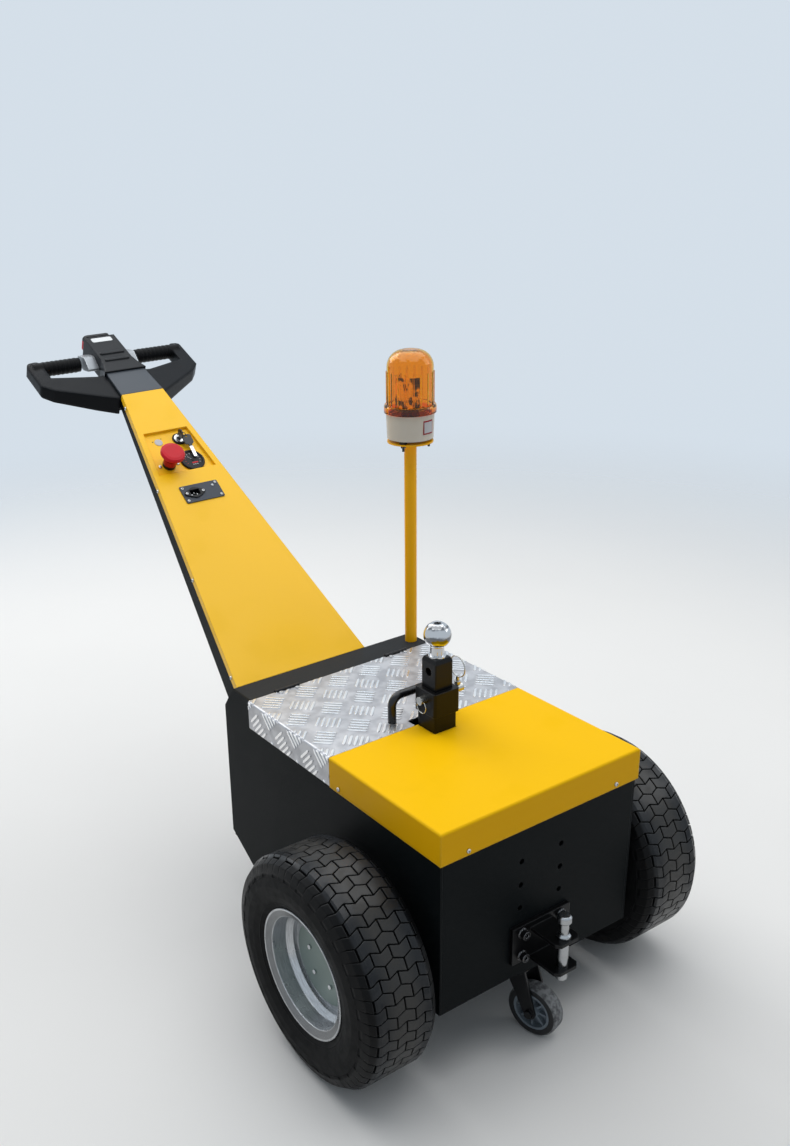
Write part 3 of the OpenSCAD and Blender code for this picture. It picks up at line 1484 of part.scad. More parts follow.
// The amber lens: a ribbed cap with a wide ring at its foot
function dome_side(r, t) = [for (i = [0:dome_steps]) let (a = 90 * i / dome_steps)
    [r - dome_r + (dome_r - t) * cos(a), lens_h - dome_r + (dome_r - t) * sin(a)]];
module beacon_lens() {
    r = lens_d / 2;
    color([1, 0.45, 0.02, 0.7]) at_pole(beacon_z + beacon_base_h - lens_seat) {
        rotate_extrude() polygon(concat([[r - lens_t, -collar_h], [r, -collar_h],
            [r, lens_seat - collar_h], [collar_d / 2, lens_seat - collar_h],
            [collar_d / 2, lens_seat - lip_h], [collar_d / 2 - lip_over, lens_seat], [r, lens_seat]],
            dome_side(r, 0), [[0, lens_h], [0, lens_h - lens_t]],
            [for (i = [dome_steps:-1:0]) dome_side(r, lens_t)[i]]));
        for (i = [0:lens_ribs - 1]) rotate([0, 0, i * 360 / lens_ribs])
            translate([r, 0, rib_low]) cylinder(r = rib_r, h = lens_h - dome_r - 2 * rib_low, $fn = 8);
    }
}
// The lamp, its holder and the motor boss that turns the reflector
module beacon_bulb() {
    color([0.95, 0.9, 0.8]) at_pole(beacon_z + base_floor) {
        cylinder(d = motor_boss_d, h = beacon_base_h - bulb_foot);
        translate([0, 0, beacon_base_h - bulb_foot]) cylinder(d = bulb_neck_d, h = bulb_foot);
        translate([0, 0, beacon_base_h]) cylinder(d = bulb_d, h = bulb_l - bulb_d / 2);
        translate([0, 0, beacon_base_h + bulb_l - bulb_d / 2]) sphere(bulb_d / 2);
    }
}
// The half cylinder mirror that runs round the lamp
module beacon_reflector() {
    low = beacon_z + base_floor + beacon_base_h - bulb_foot + fit;
    color([0.9, 0.8, 0.6]) at_pole(low) {
        difference() {
            cylinder(d = carrier_d, h = carrier_h);
            bore(bulb_neck_d + 2 * run_fit, carrier_h);
        }
        translate([0, 0, carrier_h]) rotate([0, 0, 90]) rotate_extrude(angle = 180)
            translate([reflector_r - reflector_t, 0]) square([reflector_t, reflector_h]);
        translate([0, 0, carrier_t]) rotate([0, 0, 90]) rotate_extrude(angle = 180)
            translate([motor_boss_d / 2, 0]) square([reflector_r - motor_boss_d / 2, carrier_t + cut]);
    }
}

// Two batteries with their lid ledges and terminals
module batteries() {
    base = ground_gap + body_t;
    color([0.16, 0.17, 0.2]) placed() for (side = [-1, 1])
        translate([side * (battery_w + battery_gap) / 2, battery_y + battery_l / 2, base]) {
            linear_extrude(battery_h - battery_lid_h) round_rect(battery_w, battery_l, battery_r);
            translate([0, 0, battery_h - battery_lid_h]) linear_extrude(battery_lid_h)
                round_rect(battery_w - battery_lid_in, battery_l - battery_lid_in, battery_r);
            for (k = [-1, 1]) translate([k * battery_w / 4, battery_l / 2 - terminal_in, battery_h])
                cylinder(d = terminal_d, h = terminal_h);
        }
}
// The motor controller, a finned box on the floor pan
module controller() {
    base = ground_gap + body_t;
    color([0.25, 0.26, 0.27]) placed()
        translate([-control_w / 2, panel_y + body_t + nut_h + bolt_tail + fit, base]) {
        cube([control_w, control_l, control_h - fin_h]);
        for (i = [0:fins - 1]) translate([i * (control_w - fin_t) / (fins - 1), 0, control_h - fin_h])
            cube([fin_t, control_l, fin_h]);
    }
}

side_panel_left();
side_panel_right();
front_panel();
floor_pan();
rear_shell();
hood();
body_screws();
hinge_leaves();
receiver();
ball_post();
tow_ball();
cross_pin();
linch_pin();
tow_bracket();
bracket_bolts();
drop_pin();
front_caster_plate();
rear_caster_plate();
front_caster_fork();
rear_caster_fork();
front_caster_wheel();
rear_caster_wheel();
front_caster_tyre();
rear_caster_tyre();
arm_channel();
arm_cover();
arm_screws();
estop_base();
estop_knob();
key_switch();
key();
gauge();
charge_plate();
charge_inlet();
neck_cover();
handle_frame();
head_housing();
throttle_left();
throttle_right();
belly_button();
beacon_pole();
beacon_plate();
beacon_feet();
beacon_nuts();
beacon_base();
beacon_lens();
beacon_bulb();
beacon_reflector();
batteries();
controller();
drive_motors();
tread_lid();
lid_handle();
lid_leaves();
tyre_left();
tyre_right();
rim_left();
rim_right();
hub_left();
hub_right();
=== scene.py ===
"""Looks of a walk behind electric tug: its finishes, small trim, floor, lamps and camera."""

import json
import math

import bmesh
import bpy
from mathutils import Matrix, Vector


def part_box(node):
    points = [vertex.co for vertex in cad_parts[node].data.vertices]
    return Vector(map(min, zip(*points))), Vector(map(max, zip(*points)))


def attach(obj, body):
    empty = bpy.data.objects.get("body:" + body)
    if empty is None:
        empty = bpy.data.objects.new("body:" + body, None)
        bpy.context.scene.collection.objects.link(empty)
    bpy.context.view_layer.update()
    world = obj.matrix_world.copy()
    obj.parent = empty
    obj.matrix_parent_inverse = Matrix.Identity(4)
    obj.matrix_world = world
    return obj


bl_info = {
    "name": "Walk behind tug looks",
    "version": (1, 0, 0),
    "blender": (4, 5, 0),
    "location": "3D View > Sidebar > Tug",
    "description": "Dresses a walk behind electric tug in its finishes and small trim",
    "category": "Object",
}

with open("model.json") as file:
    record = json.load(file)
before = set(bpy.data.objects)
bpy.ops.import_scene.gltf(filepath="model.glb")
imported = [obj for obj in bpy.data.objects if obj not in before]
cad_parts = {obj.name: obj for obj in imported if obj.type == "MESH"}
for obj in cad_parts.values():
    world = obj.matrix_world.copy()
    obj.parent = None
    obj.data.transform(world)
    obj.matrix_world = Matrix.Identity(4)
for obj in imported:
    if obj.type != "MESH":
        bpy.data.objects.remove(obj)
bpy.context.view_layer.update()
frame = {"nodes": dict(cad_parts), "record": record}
NODES = frame["nodes"]
JOINTS = {joint["name"]: joint for joint in frame["record"]["behaviour"]["joints"]}
MM = 0.001

# Places in millimetres in the head's frame: along it from the arm's end, and below its top
THROTTLE_ALONG = 178
THROTTLE_BELOW = 26
GRIP_ALONG = 183
GRIP_BELOW = 30

# Places in millimetres from the key's barrel: across the arm, up its slope and out of it
BUZZER_PLACE = (-51, 1, 0)
DIAL_PLACE = (2, -66, 3)
INLET_PLACE = (-40, -161, 7)
CHARGE_LAMP_PLACE = (9, -150, 9.5)

# The bare plate's place on the head, in millimetres in the head's frame
HEAD_PLATE_PLACE = (0, 222, 4)

# The buzzer's holes: how many, and how far out in millimetres
BUZZER_HOLES = 3
BUZZER_HOLES_OUT = 13.5

# The gauge's ticks: how many, how many of them are red, how far out in millimetres, and in
# degrees where the first one is and how far apart they are
DIAL_TICKS = 11
DIAL_RED_TICKS = 3
DIAL_TICKS_OUT = 17.5
DIAL_START = 210
DIAL_STEP = 24
NEEDLE_ANGLE = 130

# Heights in millimetres of the gauge's face and of the marks on it
DIAL_FACE = 0.3
DIAL_MARK = 0.15

# Where the inlet's pins are, in millimetres across it and up it, and how deep they start
INLET_PINS = ((0, 3), (-6.5, -1.5), (6.5, -1.5))
INLET_DEPTH = 13

# The height in millimetres of the wide ring at the lens's foot, and where the label faces
LENS_FOOT = 15
LABEL_ANGLE = -80

# Radii in metres from an axle, between which a mask on a tyre or a rim rises
TREAD_TOPS = (0.2015, 0.2055)
TREAD_EDGES = (0.196, 0.204)
SIDEWALL_END = (0.178, 0.182)
SIDEWALL_RINGS = ((0.1735, 0.1762), (0.1262, 0.1285))
RIM_BEAD = (0.1008, 0.1145)
CASTER_BAND = (0.0488, 0.0498)

# Distances in metres from the machine's middle, or from a tyre's own, between which a mask rises
TREAD_CROWN = (0.012, 0.045)
LID_FLANKS = (0.2254, 0.2258)

# Colours that wear, dirt, painted shade, painted highlights, painted reflections and masks bring, as
# linear shares of red, green and blue
BLACK_PLASTIC = (0.008, 0.008, 0.009)
BLACK_DUST = (0.02, 0.022, 0.022)
# Painted highlight on the powder coat's edges
BLACK_EDGE_HIGHLIGHT = (0.05, 0.053, 0.055)
# Darkening along the edges of bare metal parts
EDGE_DARK = (0.02, 0.02, 0.02)
# Bare steel on the hinge screws, and a painted highlight on the black oxide's edges
STEEL_AND_EDGE_HIGHLIGHT = (0.5, 0.5, 0.5)
BRIGHT_STEEL = (0.72, 0.72, 0.72)
SCREW_HEADS = (0.75, 0.75, 0.75)
# Painted shade on the hood's upright flanges
YELLOW_FLANGE_SHADE = (0.76, 0.385, 0.002)
# Painted highlight along the hood's bends
YELLOW_BEND_HIGHLIGHT = (1.0, 0.68, 0.07)
# Painted highlight on the hitch's black edges
HITCH_EDGE_HIGHLIGHT = (0.055, 0.057, 0.06)
TREAD_SHOULDER = (0.009, 0.0105, 0.013)
TREAD_MIDDLE = (0.043, 0.041, 0.038)
# Painted highlight on the tread blocks' edges
TREAD_EDGE_HIGHLIGHT = (0.085, 0.086, 0.087)
SIDEWALL_DUST = (0.014, 0.014, 0.0135)
RUBBER_DUST = (0.07, 0.068, 0.064)
BAND_WORN = (0.22, 0.225, 0.23)
BEAD_SHADOW = (0.1, 0.105, 0.11)
HUB_DIRT = (0.1, 0.13, 0.12)
PLATE_DARK = (0.4, 0.4, 0.415)
PLATE_PALE = (0.52, 0.52, 0.535)
PLATE_BARS = (0.88, 0.88, 0.88)
# Painted dark reflections in rings on the chrome ball
BALL_DARK_REFLECTION = (0.07, 0.072, 0.076)
STOP_COLLAR_RED = (0.42, 0.01, 0.014)
SILVER_DULL = (0.2, 0.21, 0.22)
# Painted highlight on the throttles' edges
SILVER_EDGE_HIGHLIGHT = (0.7, 0.72, 0.73)
GRIP_BLACK = (0.004, 0.004, 0.0045)
# Painted highlight on the handle's edges
HANDLE_EDGE_HIGHLIGHT = (0.02, 0.0235, 0.028)
LENS_DEEP = (0.9, 0.2, 0.0)
BULB_FOOT = (0.16, 0.09, 0.03)
MIRROR_FOLDS = (0.06, 0.03, 0.006)

# Facets round a turned piece and along a wrapped plate
TURNED_STEPS = 48
WRAPPED_STEPS = 12

# The floor reaches this far each way, and clears away between the two distances, in metres
FLOOR_REACH = 14
FLOOR_FADE = (1.5, 4.2)

# The sky where it is seen
SKY_COLOUR = (0.79, 0.88, 0.97)
SKY_SEEN = 0.84

# Each lamp's name, place in metres, width in metres and share of the set power
LAMPS = (
    ("key_lamp", (0.3, 0.3, 3.6), 4.4, 1.0),
    ("side_lamp", (3.0, -1.6, 2.6), 2.0, 0.18),
    ("back_lamp", (-0.6, 3.2, 3.0), 2.4, 0.5),
)
LAMP_AIM = Vector((0, 0, 0.4))

# The picture's size in pixels, and the camera that was fitted to it, in millimetres and metres
PICTURE_LONG_SIDE = 1146
FOCAL_PIXELS = 1165.5
SENSOR = 36.0
CAMERA_PLACE = Vector((-1.2120, -1.9092, 1.5294))
CAMERA_AZIMUTH = math.radians(-33.4)
CAMERA_ELEVATION = math.radians(23.2)
CAMERA_ROLL = math.radians(-2.1)
CAMERA_SHIFT = (0.0656, 0.0460)
CAMERA_REACH = 60


class Field:
    """A value that varies over a surface; plain arithmetic on it adds Math nodes."""

    def __init__(self, nodes, socket):
        self.nodes = nodes
        self.socket = socket

    def _math(self, operation, first, second):
        return self.nodes.add("ShaderNodeMath", {"operation": operation}, {0: first, 1: second})

    def __add__(self, other):
        return self._math("ADD", self, other)

    def __radd__(self, other):
        return self._math("ADD", other, self)

    def __sub__(self, other):
        return self._math("SUBTRACT", self, other)

    def __rsub__(self, other):
        return self._math("SUBTRACT", other, self)

    def __mul__(self, other):
        return self._math("MULTIPLY", self, other)

    def __rmul__(self, other):
        return self._math("MULTIPLY", other, self)

    def __abs__(self):
        return self._math("ABSOLUTE", self, 0.0)

    def most(self, other):
        """The larger of two values."""
        return self._math("MAXIMUM", self, other)

    def between(self, low, high, soft):
        """1 between two values, with soft edges, and 0 elsewhere."""
        return self.rise(low, low + soft) * (1.0 - self.rise(high - soft, high))

    def rise(self, low, high):
        """0 below low, 1 above high and smooth between them."""
        return self.nodes.add(
            "ShaderNodeMapRange",
            {"interpolation_type": "SMOOTHSTEP"},
            {"Value": self, "From Min": low, "From Max": high},
        )


class Nodes:
    """A node tree, whose new nodes all come from one method."""

    def __init__(self, tree):
        self.tree = tree

    def add(self, kind, settings=None, values=None, output=0):
        """A node with its settings and the values or links of its sockets."""
        node = self.tree.nodes.new(kind)
        for key, value in (settings or {}).items():
            setattr(node, key, value)
        for key, value in (values or {}).items():
            self.put(node.inputs[key], value)
        return Field(self, node.outputs[output])

    def put(self, socket, value):
        """Links a field to a socket, or sets a plain value on it."""
        if isinstance(value, Field):
            self.tree.links.new(value.socket, socket)
        elif socket.type == "RGBA":
            socket.default_value = (*value, 1.0)
        else:
            socket.default_value = value

    def seen(self):
        """1 where the camera looks, directly, in a reflection or through glass, and 0 for plain light."""
        camera, glossy, through = (
            self.add("ShaderNodeLightPath", output=f"Is {kind} Ray")
            for kind in ("Camera", "Glossy", "Transmission")
        )
        return camera.most(glossy).most(through)


class Finish(Nodes):
    """A material on one Principled shader, in the object's own metres."""

    def __init__(self, name, colour, metallic=0.0, coat=0.0):
        self.material = bpy.data.materials.new(name)
        self.material.use_nodes = True
        super().__init__(self.material.node_tree)
        self.shader = self.tree.nodes["Principled BSDF"]
        self.colour = tuple(colour)
        self.feed("Metallic", metallic)
        self.feed("Coat Weight", coat)

    def feed(self, socket, value):
        """Feeds a field to one of the shader's sockets, or sets a plain value on it."""
        self.put(self.shader.inputs[socket], value)

    def place(self, scale=(1, 1, 1)):
        """Where a point is on the machine, in metres, stretched by scale."""
        spot = self.add("ShaderNodeTexCoord", output="Object")
        return self.add("ShaderNodeVectorMath", {"operation": "MULTIPLY"}, {0: spot, 1: scale})

    def axis(self, letter):
        """A point's X, Y or Z."""
        return self.add("ShaderNodeSeparateXYZ", values={0: self.place()}, output=letter)

    def noise(self, size, detail=2.0, stretch=(1, 1, 1)):
        """Cloudy noise whose grains are about size metres, from 0 to 1."""
        return self.add(
            "ShaderNodeTexNoise",
            values={"Vector": self.place(stretch), "Scale": 1 / size, "Detail": detail},
        )

    def cells(self, size):
        """Distance to the nearest of scattered points about size metres apart."""
        return self.add("ShaderNodeTexVoronoi", values={"Vector": self.place(), "Scale": 1 / size})

    def distance(self, centre, keep=(1, 1, 1)):
        """How far a point is from a place, along the axes that are kept."""
        aim = tuple(part * kept for part, kept in zip(centre, keep))
        return self.add(
            "ShaderNodeVectorMath", {"operation": "DISTANCE"}, {0: self.place(keep), 1: aim},
            output="Value",
        )

    def dot(self, first, second):
        """The dot product of two vectors."""
        return self.add(
            "ShaderNodeVectorMath", {"operation": "DOT_PRODUCT"}, {0: first, 1: second},
            output="Value",
        )

    def along(self, centre, way):
        """How far a point is from a place along a direction."""
        moved = self.add(
            "ShaderNodeVectorMath", {"operation": "SUBTRACT"}, {0: self.place(), 1: centre})
        return self.dot(moved, way)

    def blend(self, mask, first, second):
        """The first colour where the mask is 0, the second where it is 1."""
        # Sockets 6 and 7 of a Mix node take colours, and its output 2 gives one
        return self.add(
            "ShaderNodeMix",
            {"data_type": "RGBA", "clamp_factor": True},
            {0: mask, 6: first, 7: second},
            output=2,
        )

    def rounded(self, radius):
        """The surface's normal, as if its edges were rounded to a radius."""
        return self.add("ShaderNodeBevel", values={"Radius": radius})

    def relief(self, height, depth, edge=0.0015):
        """Raises the surface by a height field, depth metres at 1, over edges rounded to a radius."""
        self.feed("Normal", self.add(
            "ShaderNodeBump",
            values={"Distance": depth, "Height": height, "Normal": self.rounded(edge)},
        ))

    def edges(self, radius):
        """1 on edges, fading to 0 about a radius away from them."""
        plain = self.add("ShaderNodeNewGeometry", output="Normal")
        return (1.0 - self.dot(self.rounded(radius), plain)).rise(0.02, 0.22)

    def scuffs(self):
        """Soft scuffs about a hand wide."""
        return self.noise(0.09, 8.0).rise(0.52, 0.7)

    def wear(self, size=0.05):
        """Soft worn or dusty patches about size metres wide."""
        return self.noise(size, 6.0).rise(0.5, 0.75)


def shade(colour, share):
    """A colour made darker, or brighter by a share above 1."""
    return tuple(min(1.0, channel * share) for channel in colour)


def paint(name, colour, roughness=0.36, coat=0.08, specular=0.3, edge=0.0025, base=None):
    """Smooth stove enamel with a faint orange peel, scuffed unless base draws its colour."""
    finish = Finish(name, colour, coat=coat)
    finish.feed("Coat Roughness", 0.15)
    finish.feed("Specular IOR Level", specular)
    scuffs = finish.scuffs()
    if base is None:
        finish.feed("Base Color", finish.blend(
            scuffs * 0.16, finish.colour, shade(finish.colour, 0.84)))
    else:
        finish.feed("Base Color", base(finish))
    finish.feed("Roughness", roughness + scuffs * 0.12 + finish.noise(0.4) * 0.06)
    finish.relief(finish.noise(0.006, 1.0) + finish.noise(0.25) * 3.0, 0.0001, edge)
    return finish


def powder_coat(name, colour, roughness=0.4):
    """Fine textured black powder coat, dusty in patches, with a painted highlight on its edges."""
    finish = Finish(name, colour)
    finish.feed("Specular IOR Level", 0.055)
    grain = finish.cells(0.0016)
    dust = finish.wear(0.16) * 0.14
    dusty = finish.blend(dust, finish.colour, BLACK_DUST)
    # Painted highlight: paler along the edges
    finish.feed("Base Color", finish.blend(finish.edges(0.0015) * 0.45, dusty, BLACK_EDGE_HIGHLIGHT))
    finish.feed("Roughness", roughness + grain * 0.12 + dust * 0.5)
    finish.relief(grain + finish.noise(0.003) * 0.6, 0.00022)
    return finish


def bare_metal(name, colour, roughness, grain=(1, 1, 30), scratch=0.12, dark=0.0, reach=0.001,
               base=None):
    """Bare or plated metal with fine scratches, tarnished unless base draws its colour."""
    finish = Finish(name, colour, metallic=1.0)
    lines = finish.noise(0.02, 8.0, grain)
    tarnish = finish.noise(0.03, 5.0).rise(0.48, 0.72)
    if base is None:
        plated = finish.blend(tarnish * 0.35, finish.colour, shade(finish.colour, 0.7))
        # Darker along the edges, by the share dark
        if dark:
            plated = finish.blend(finish.edges(reach) * dark, plated, EDGE_DARK)
    else:
        plated = base(finish)
    finish.feed("Base Color", plated)
    finish.feed("Roughness", roughness + lines * scratch + tarnish * 0.1)
    finish.relief(lines, 0.00008)
    return finish


def moulding(name, colour, roughness, grain_size=0.0011, depth=0.00012, specular=0.2, edge=0.001,
             base=None):
    """Moulded plastic with a spark eroded grain, worn unless base draws its colour."""
    finish = Finish(name, colour)
    finish.feed("Specular IOR Level", specular)
    grain = finish.noise(grain_size)
    wear = finish.wear()
    if base is None:
        finish.feed("Base Color", finish.blend(
            wear * 0.3, finish.colour, shade(finish.colour, 1.3)))
    else:
        finish.feed("Base Color", base(finish))
    finish.feed("Roughness", roughness + (grain - 0.5) * 0.1 + wear * 0.1)
    finish.relief(grain, depth, edge)
    return finish


def rubber(name, colour):
    """Matt rubber with dust in patches and fine pits."""
    finish = Finish(name, colour)
    finish.feed("Specular IOR Level", 0.4)
    pits = finish.noise(0.002, 4.0)
    dust = finish.wear() * 0.25
    finish.feed("Base Color", finish.blend(dust, finish.colour, RUBBER_DUST))
    finish.feed("Roughness", 0.5 + pits * 0.2 + dust * 0.4)
    finish.relief(pits + finish.noise(0.012) * 2.0, 0.0003)
    return finish


def turf_rubber(name, wheel):
    """Tyre rubber: scuffed treads that shine a little, with a painted highlight on the blocks' edges, and
    a dusty sidewall with fine rings.
    """
    finish = Finish(name, (0.003, 0.0031, 0.0033))
    finish.feed("Specular IOR Level", 0.12)
    finish.feed("Coat Roughness", 0.2)
    axle = JOINTS[wheel]["pos_m"]
    radius = finish.distance(axle, (0, 1, 1))
    tops = radius.rise(*TREAD_TOPS)
    side = 1.0 - radius.rise(*SIDEWALL_END)
    scuffs = finish.noise(0.02, 8.0).rise(0.42, 0.68)
    dust = finish.noise(0.07, 6.0).rise(0.48, 0.7)
    crown = 1.0 - abs(abs(finish.axis("X")) - abs(axle[0])).rise(*TREAD_CROWN)
    tread = finish.blend(crown, TREAD_SHOULDER, TREAD_MIDDLE)
    worn = finish.blend(tops * (0.6 + scuffs * 0.4), finish.colour, tread)
    # Painted highlight: paler along the tread blocks' edges
    edges = finish.edges(0.0022) * radius.rise(*TREAD_EDGES)
    edge_lit = finish.blend(edges * 0.6, worn, TREAD_EDGE_HIGHLIGHT)
    finish.feed("Base Color", finish.blend(dust * side * 0.3, edge_lit, SIDEWALL_DUST))
    finish.feed("Roughness", 0.4 + side * 0.2 + scuffs * 0.1 + dust * 0.08)
    finish.feed("Coat Weight", tops * (0.4 - scuffs * 0.25))
    outer, inner = (radius.between(low, high, 0.0008) for low, high in SIDEWALL_RINGS)
    height = (outer + inner) * 6.0 + finish.noise(0.0022, 4.0) + finish.noise(0.014) * 1.5
    finish.relief(height, 0.0002, 0.0035)
    return finish


def caster_rubber(name, roll):
    """A caster's tyre: black sides and a running band worn pale."""
    finish = Finish(name, (0.008, 0.0085, 0.0095))
    scuffs = finish.noise(0.008, 8.0).rise(0.35, 0.62)
    band = finish.distance(JOINTS[roll]["pos_m"]).rise(*CASTER_BAND)
    finish.feed("Base Color", finish.blend(
        band * (0.3 + scuffs * 0.7), finish.colour, BAND_WORN))
    finish.feed("Roughness", 0.42 + band * 0.3 + finish.noise(0.02) * 0.1)
    finish.relief(finish.noise(0.003, 4.0), 0.0002)
    return finish


def tread_plate(name):
    """Rolled aluminium: a mottled ground, and bars polished on their tops."""
    finish = Finish(name, PLATE_PALE, metallic=1.0)
    top = JOINTS["lid_hinge"]["pos_m"][2]
    bars = finish.axis("Z").rise(top - 0.0006, top - 0.0002).most(
        abs(finish.axis("X")).rise(*LID_FLANKS))
    mottle = finish.noise(0.022, 8.0)
    cloud = finish.noise(0.11, 4.0).rise(0.35, 0.7)
    ground = finish.blend(mottle.rise(0.35, 0.65), PLATE_DARK, finish.colour)
    finish.feed("Base Color", finish.blend(bars, ground, PLATE_BARS))
    finish.feed("Roughness", 0.36 + mottle * 0.12 + cloud * 0.08 - bars * 0.18)
    finish.relief(mottle * 0.5 + cloud * 0.8 + finish.noise(0.004, 3.0) * 0.1, 0.0003)
    return finish


def dress(finish, *names):
    """Gives a finish to CAD nodes."""
    for name in names:
        mesh = NODES[name].data
        mesh.materials.clear()
        mesh.materials.append(finish.material)


def piece(name, mesh_maker, finish, matrix):
    """A new piece on the chassis, whose mesh a bmesh function draws in a frame of its own."""
    mesh = bpy.data.meshes.new(name)
    drawn = bmesh.new()
    mesh_maker(drawn)
    bmesh.ops.transform(drawn, matrix=matrix, verts=drawn.verts)
    bmesh.ops.recalc_face_normals(drawn, faces=drawn.faces)
    drawn.to_mesh(mesh)
    drawn.free()
    mesh.materials.append(finish.material)
    made = bpy.data.objects.new(name, mesh)
    bpy.context.scene.collection.objects.link(made)
    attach(made, "chassis")


def at(x=0.0, y=0.0, z=0.0):
    """A move in millimetres."""
    return Matrix.Translation((x * MM, y * MM, z * MM))


def turned(drawn, profile, closed=False):
    """Turns (radius, height) points in millimetres about Z; closed joins the last to the first."""
    rings = []
    for radius, height in dict.fromkeys(profile):
        angles = [math.tau * step / TURNED_STEPS for step in range(TURNED_STEPS if radius else 1)]
        rings.append([
            drawn.verts.new((
                radius * MM * math.cos(angle), radius * MM * math.sin(angle), height * MM))
            for angle in angles
        ])
    if closed:
        rings.append(rings[0])
    for lower, upper in zip(rings, rings[1:]):
        for step in range(TURNED_STEPS):
            after = (step + 1) % TURNED_STEPS
            corners = [lower[step % len(lower)], lower[after % len(lower)],
                       upper[after % len(upper)], upper[step % len(upper)]]
            drawn.faces.new(list(dict.fromkeys(corners)))


def disc(radius, low, high, chamfer=0.0):
    """Draws a disc between two heights with its upper edge chamfered, in millimetres."""
    return lambda drawn: turned(drawn, [
        (0, low), (radius, low), (radius, high - chamfer), (radius - chamfer, high), (0, high)])


def ring(inner, outer, low, high, chamfer=0.0):
    """Draws a ring between two radii and two heights, in millimetres."""
    return lambda drawn: turned(drawn, [
        (inner, low), (outer, low), (outer, high - chamfer), (outer - chamfer, high), (inner, high)],
        closed=True)


def slab(width, length, height, round_off=0.0):
    """Draws a block that stands on Z = 0, with its upright corners rounded, in millimetres."""
    def draw(drawn):
        bmesh.ops.create_cube(drawn, size=1)
        stretch = Matrix.Diagonal((width * MM, length * MM, height * MM, 1))
        bmesh.ops.transform(drawn, matrix=at(z=height / 2) @ stretch, verts=drawn.verts)
        if round_off:
            upright = [edge for edge in drawn.edges
                       if abs(edge.verts[0].co.z - edge.verts[1].co.z) > height * MM / 2]
            bmesh.ops.bevel(
                drawn, geom=upright, offset=round_off * MM, segments=5, affect="EDGES",
                profile=0.5)
    return draw


def wrapped(radius, half_angle, low, high, thick):
    """Draws a thin plate wrapped on a cylinder about Z, centred on X, in millimetres and degrees."""
    def draw(drawn):
        reach = math.radians(half_angle)
        angles = [reach * (2 * step / WRAPPED_STEPS - 1) for step in range(WRAPPED_STEPS + 1)]
        corners = ((radius, low), (radius + thick, low), (radius + thick, high), (radius, high))
        layers = [
            [drawn.verts.new((out * MM * math.cos(angle), out * MM * math.sin(angle), height * MM))
             for angle in angles]
            for out, height in corners
        ]
        for near, far in zip(layers, layers[1:] + layers[:1]):
            for step in range(WRAPPED_STEPS):
                drawn.faces.new((near[step], near[step + 1], far[step + 1], far[step]))
        for end in (0, -1):
            drawn.faces.new([layer[end] for layer in layers])
    return draw


def face_frame(place, out):
    """A frame on a sloping face: X across the machine, Y up the slope, Z out of it."""
    out = Vector(out).normalized()
    across = Vector((1, 0, 0))
    turn = Matrix((across, out.cross(across), out)).transposed().to_4x4()
    return Matrix.Translation(place) @ turn


def head_frame():
    """The head's frame: Y along it from the arm's end, Z out of its top."""
    along = -Vector(JOINTS["belly_press"]["axis"])
    out = Vector((1, 0, 0)).cross(along)
    throttles = face_frame(JOINTS["throttle_turn"]["pos_m"], out)
    return throttles @ at(y=-THROTTLE_ALONG, z=THROTTLE_BELOW)


class TugLooks(bpy.types.PropertyGroup):
    """Colours and light levels that a user may change."""

    yellow: bpy.props.FloatVectorProperty(
        name="Yellow", description="Colour of the hood and the arm cover",
        default=(0.93, 0.525, 0.003), subtype="COLOR", min=0, max=1)
    black: bpy.props.FloatVectorProperty(
        name="Black", description="Colour of the powder coated steel",
        default=(0.0038, 0.0052, 0.0058), subtype="COLOR", min=0, max=1)
    handle: bpy.props.FloatVectorProperty(
        name="Handle", description="Colour of the handle's plastic",
        default=(0.0045, 0.0055, 0.0072), subtype="COLOR", min=0, max=1)
    amber: bpy.props.FloatVectorProperty(
        name="Amber", description="Colour of the beacon's lens",
        default=(0.97, 0.5, 0.0), subtype="COLOR", min=0, max=1)
    floor: bpy.props.FloatVectorProperty(
        name="Floor", description="Colour of the floor",
        default=(0.825, 0.812, 0.79), subtype="COLOR", min=0, max=1)
    sky: bpy.props.FloatProperty(
        name="Sky", description="Strength of the even light from all round",
        default=0.36, min=0)
    lamp: bpy.props.FloatProperty(
        name="Lamp", description="Power of the large soft lamp above",
        default=105.0, min=0, unit="POWER")


def looks():
    """The settings in use."""
    return bpy.context.scene.tug_looks


class TUG_OT_bodywork(bpy.types.Operator):
    """Paints the body and the hood"""

    bl_idname = "tug.bodywork"
    bl_label = "Bodywork"

    def execute(self, context):
        dress(
            powder_coat("black_powder_coat", looks().black),
            "side_panel_left", "side_panel_right", "front_panel", "floor_pan",
            "arm_channel", "front_caster_plate", "rear_caster_plate",
        )
        dress(powder_coat("bar_powder_coat", (0.028, 0.0295, 0.031), roughness=0.5), "rear_shell")
        hood = paint("hood_enamel", looks().yellow, coat=0.0, specular=0.05, edge=0.005,
                     base=self.hood_base)
        dress(hood, "hood")
        dress(paint("arm_enamel", looks().yellow), "arm_cover")
        screws = bare_metal("zinc_plate", (0.6, 0.6, 0.59), 0.22, grain=(1, 1, 3), dark=0.9,
                            reach=0.0012)
        dress(screws, "body_screws", "arm_screws")
        return {"FINISHED"}

    def hood_base(self, finish):
        """The arm's yellow, with painted shade that makes the flanges deeper and a painted highlight
        along the bends.
        """
        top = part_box("hood")[1][2]
        flange = 1.0 - finish.axis("Z").rise(top - 0.006, top - 0.001)
        yellow = finish.blend(finish.scuffs() * 0.14, finish.colour, shade(finish.colour, 0.86))
        # Painted shade: deeper on the upright flanges
        shaded = finish.blend(flange * 0.85, yellow, YELLOW_FLANGE_SHADE)
        # Painted highlight: paler along the bends
        return finish.blend(finish.edges(0.005) * 0.4, shaded, YELLOW_BEND_HIGHLIGHT)


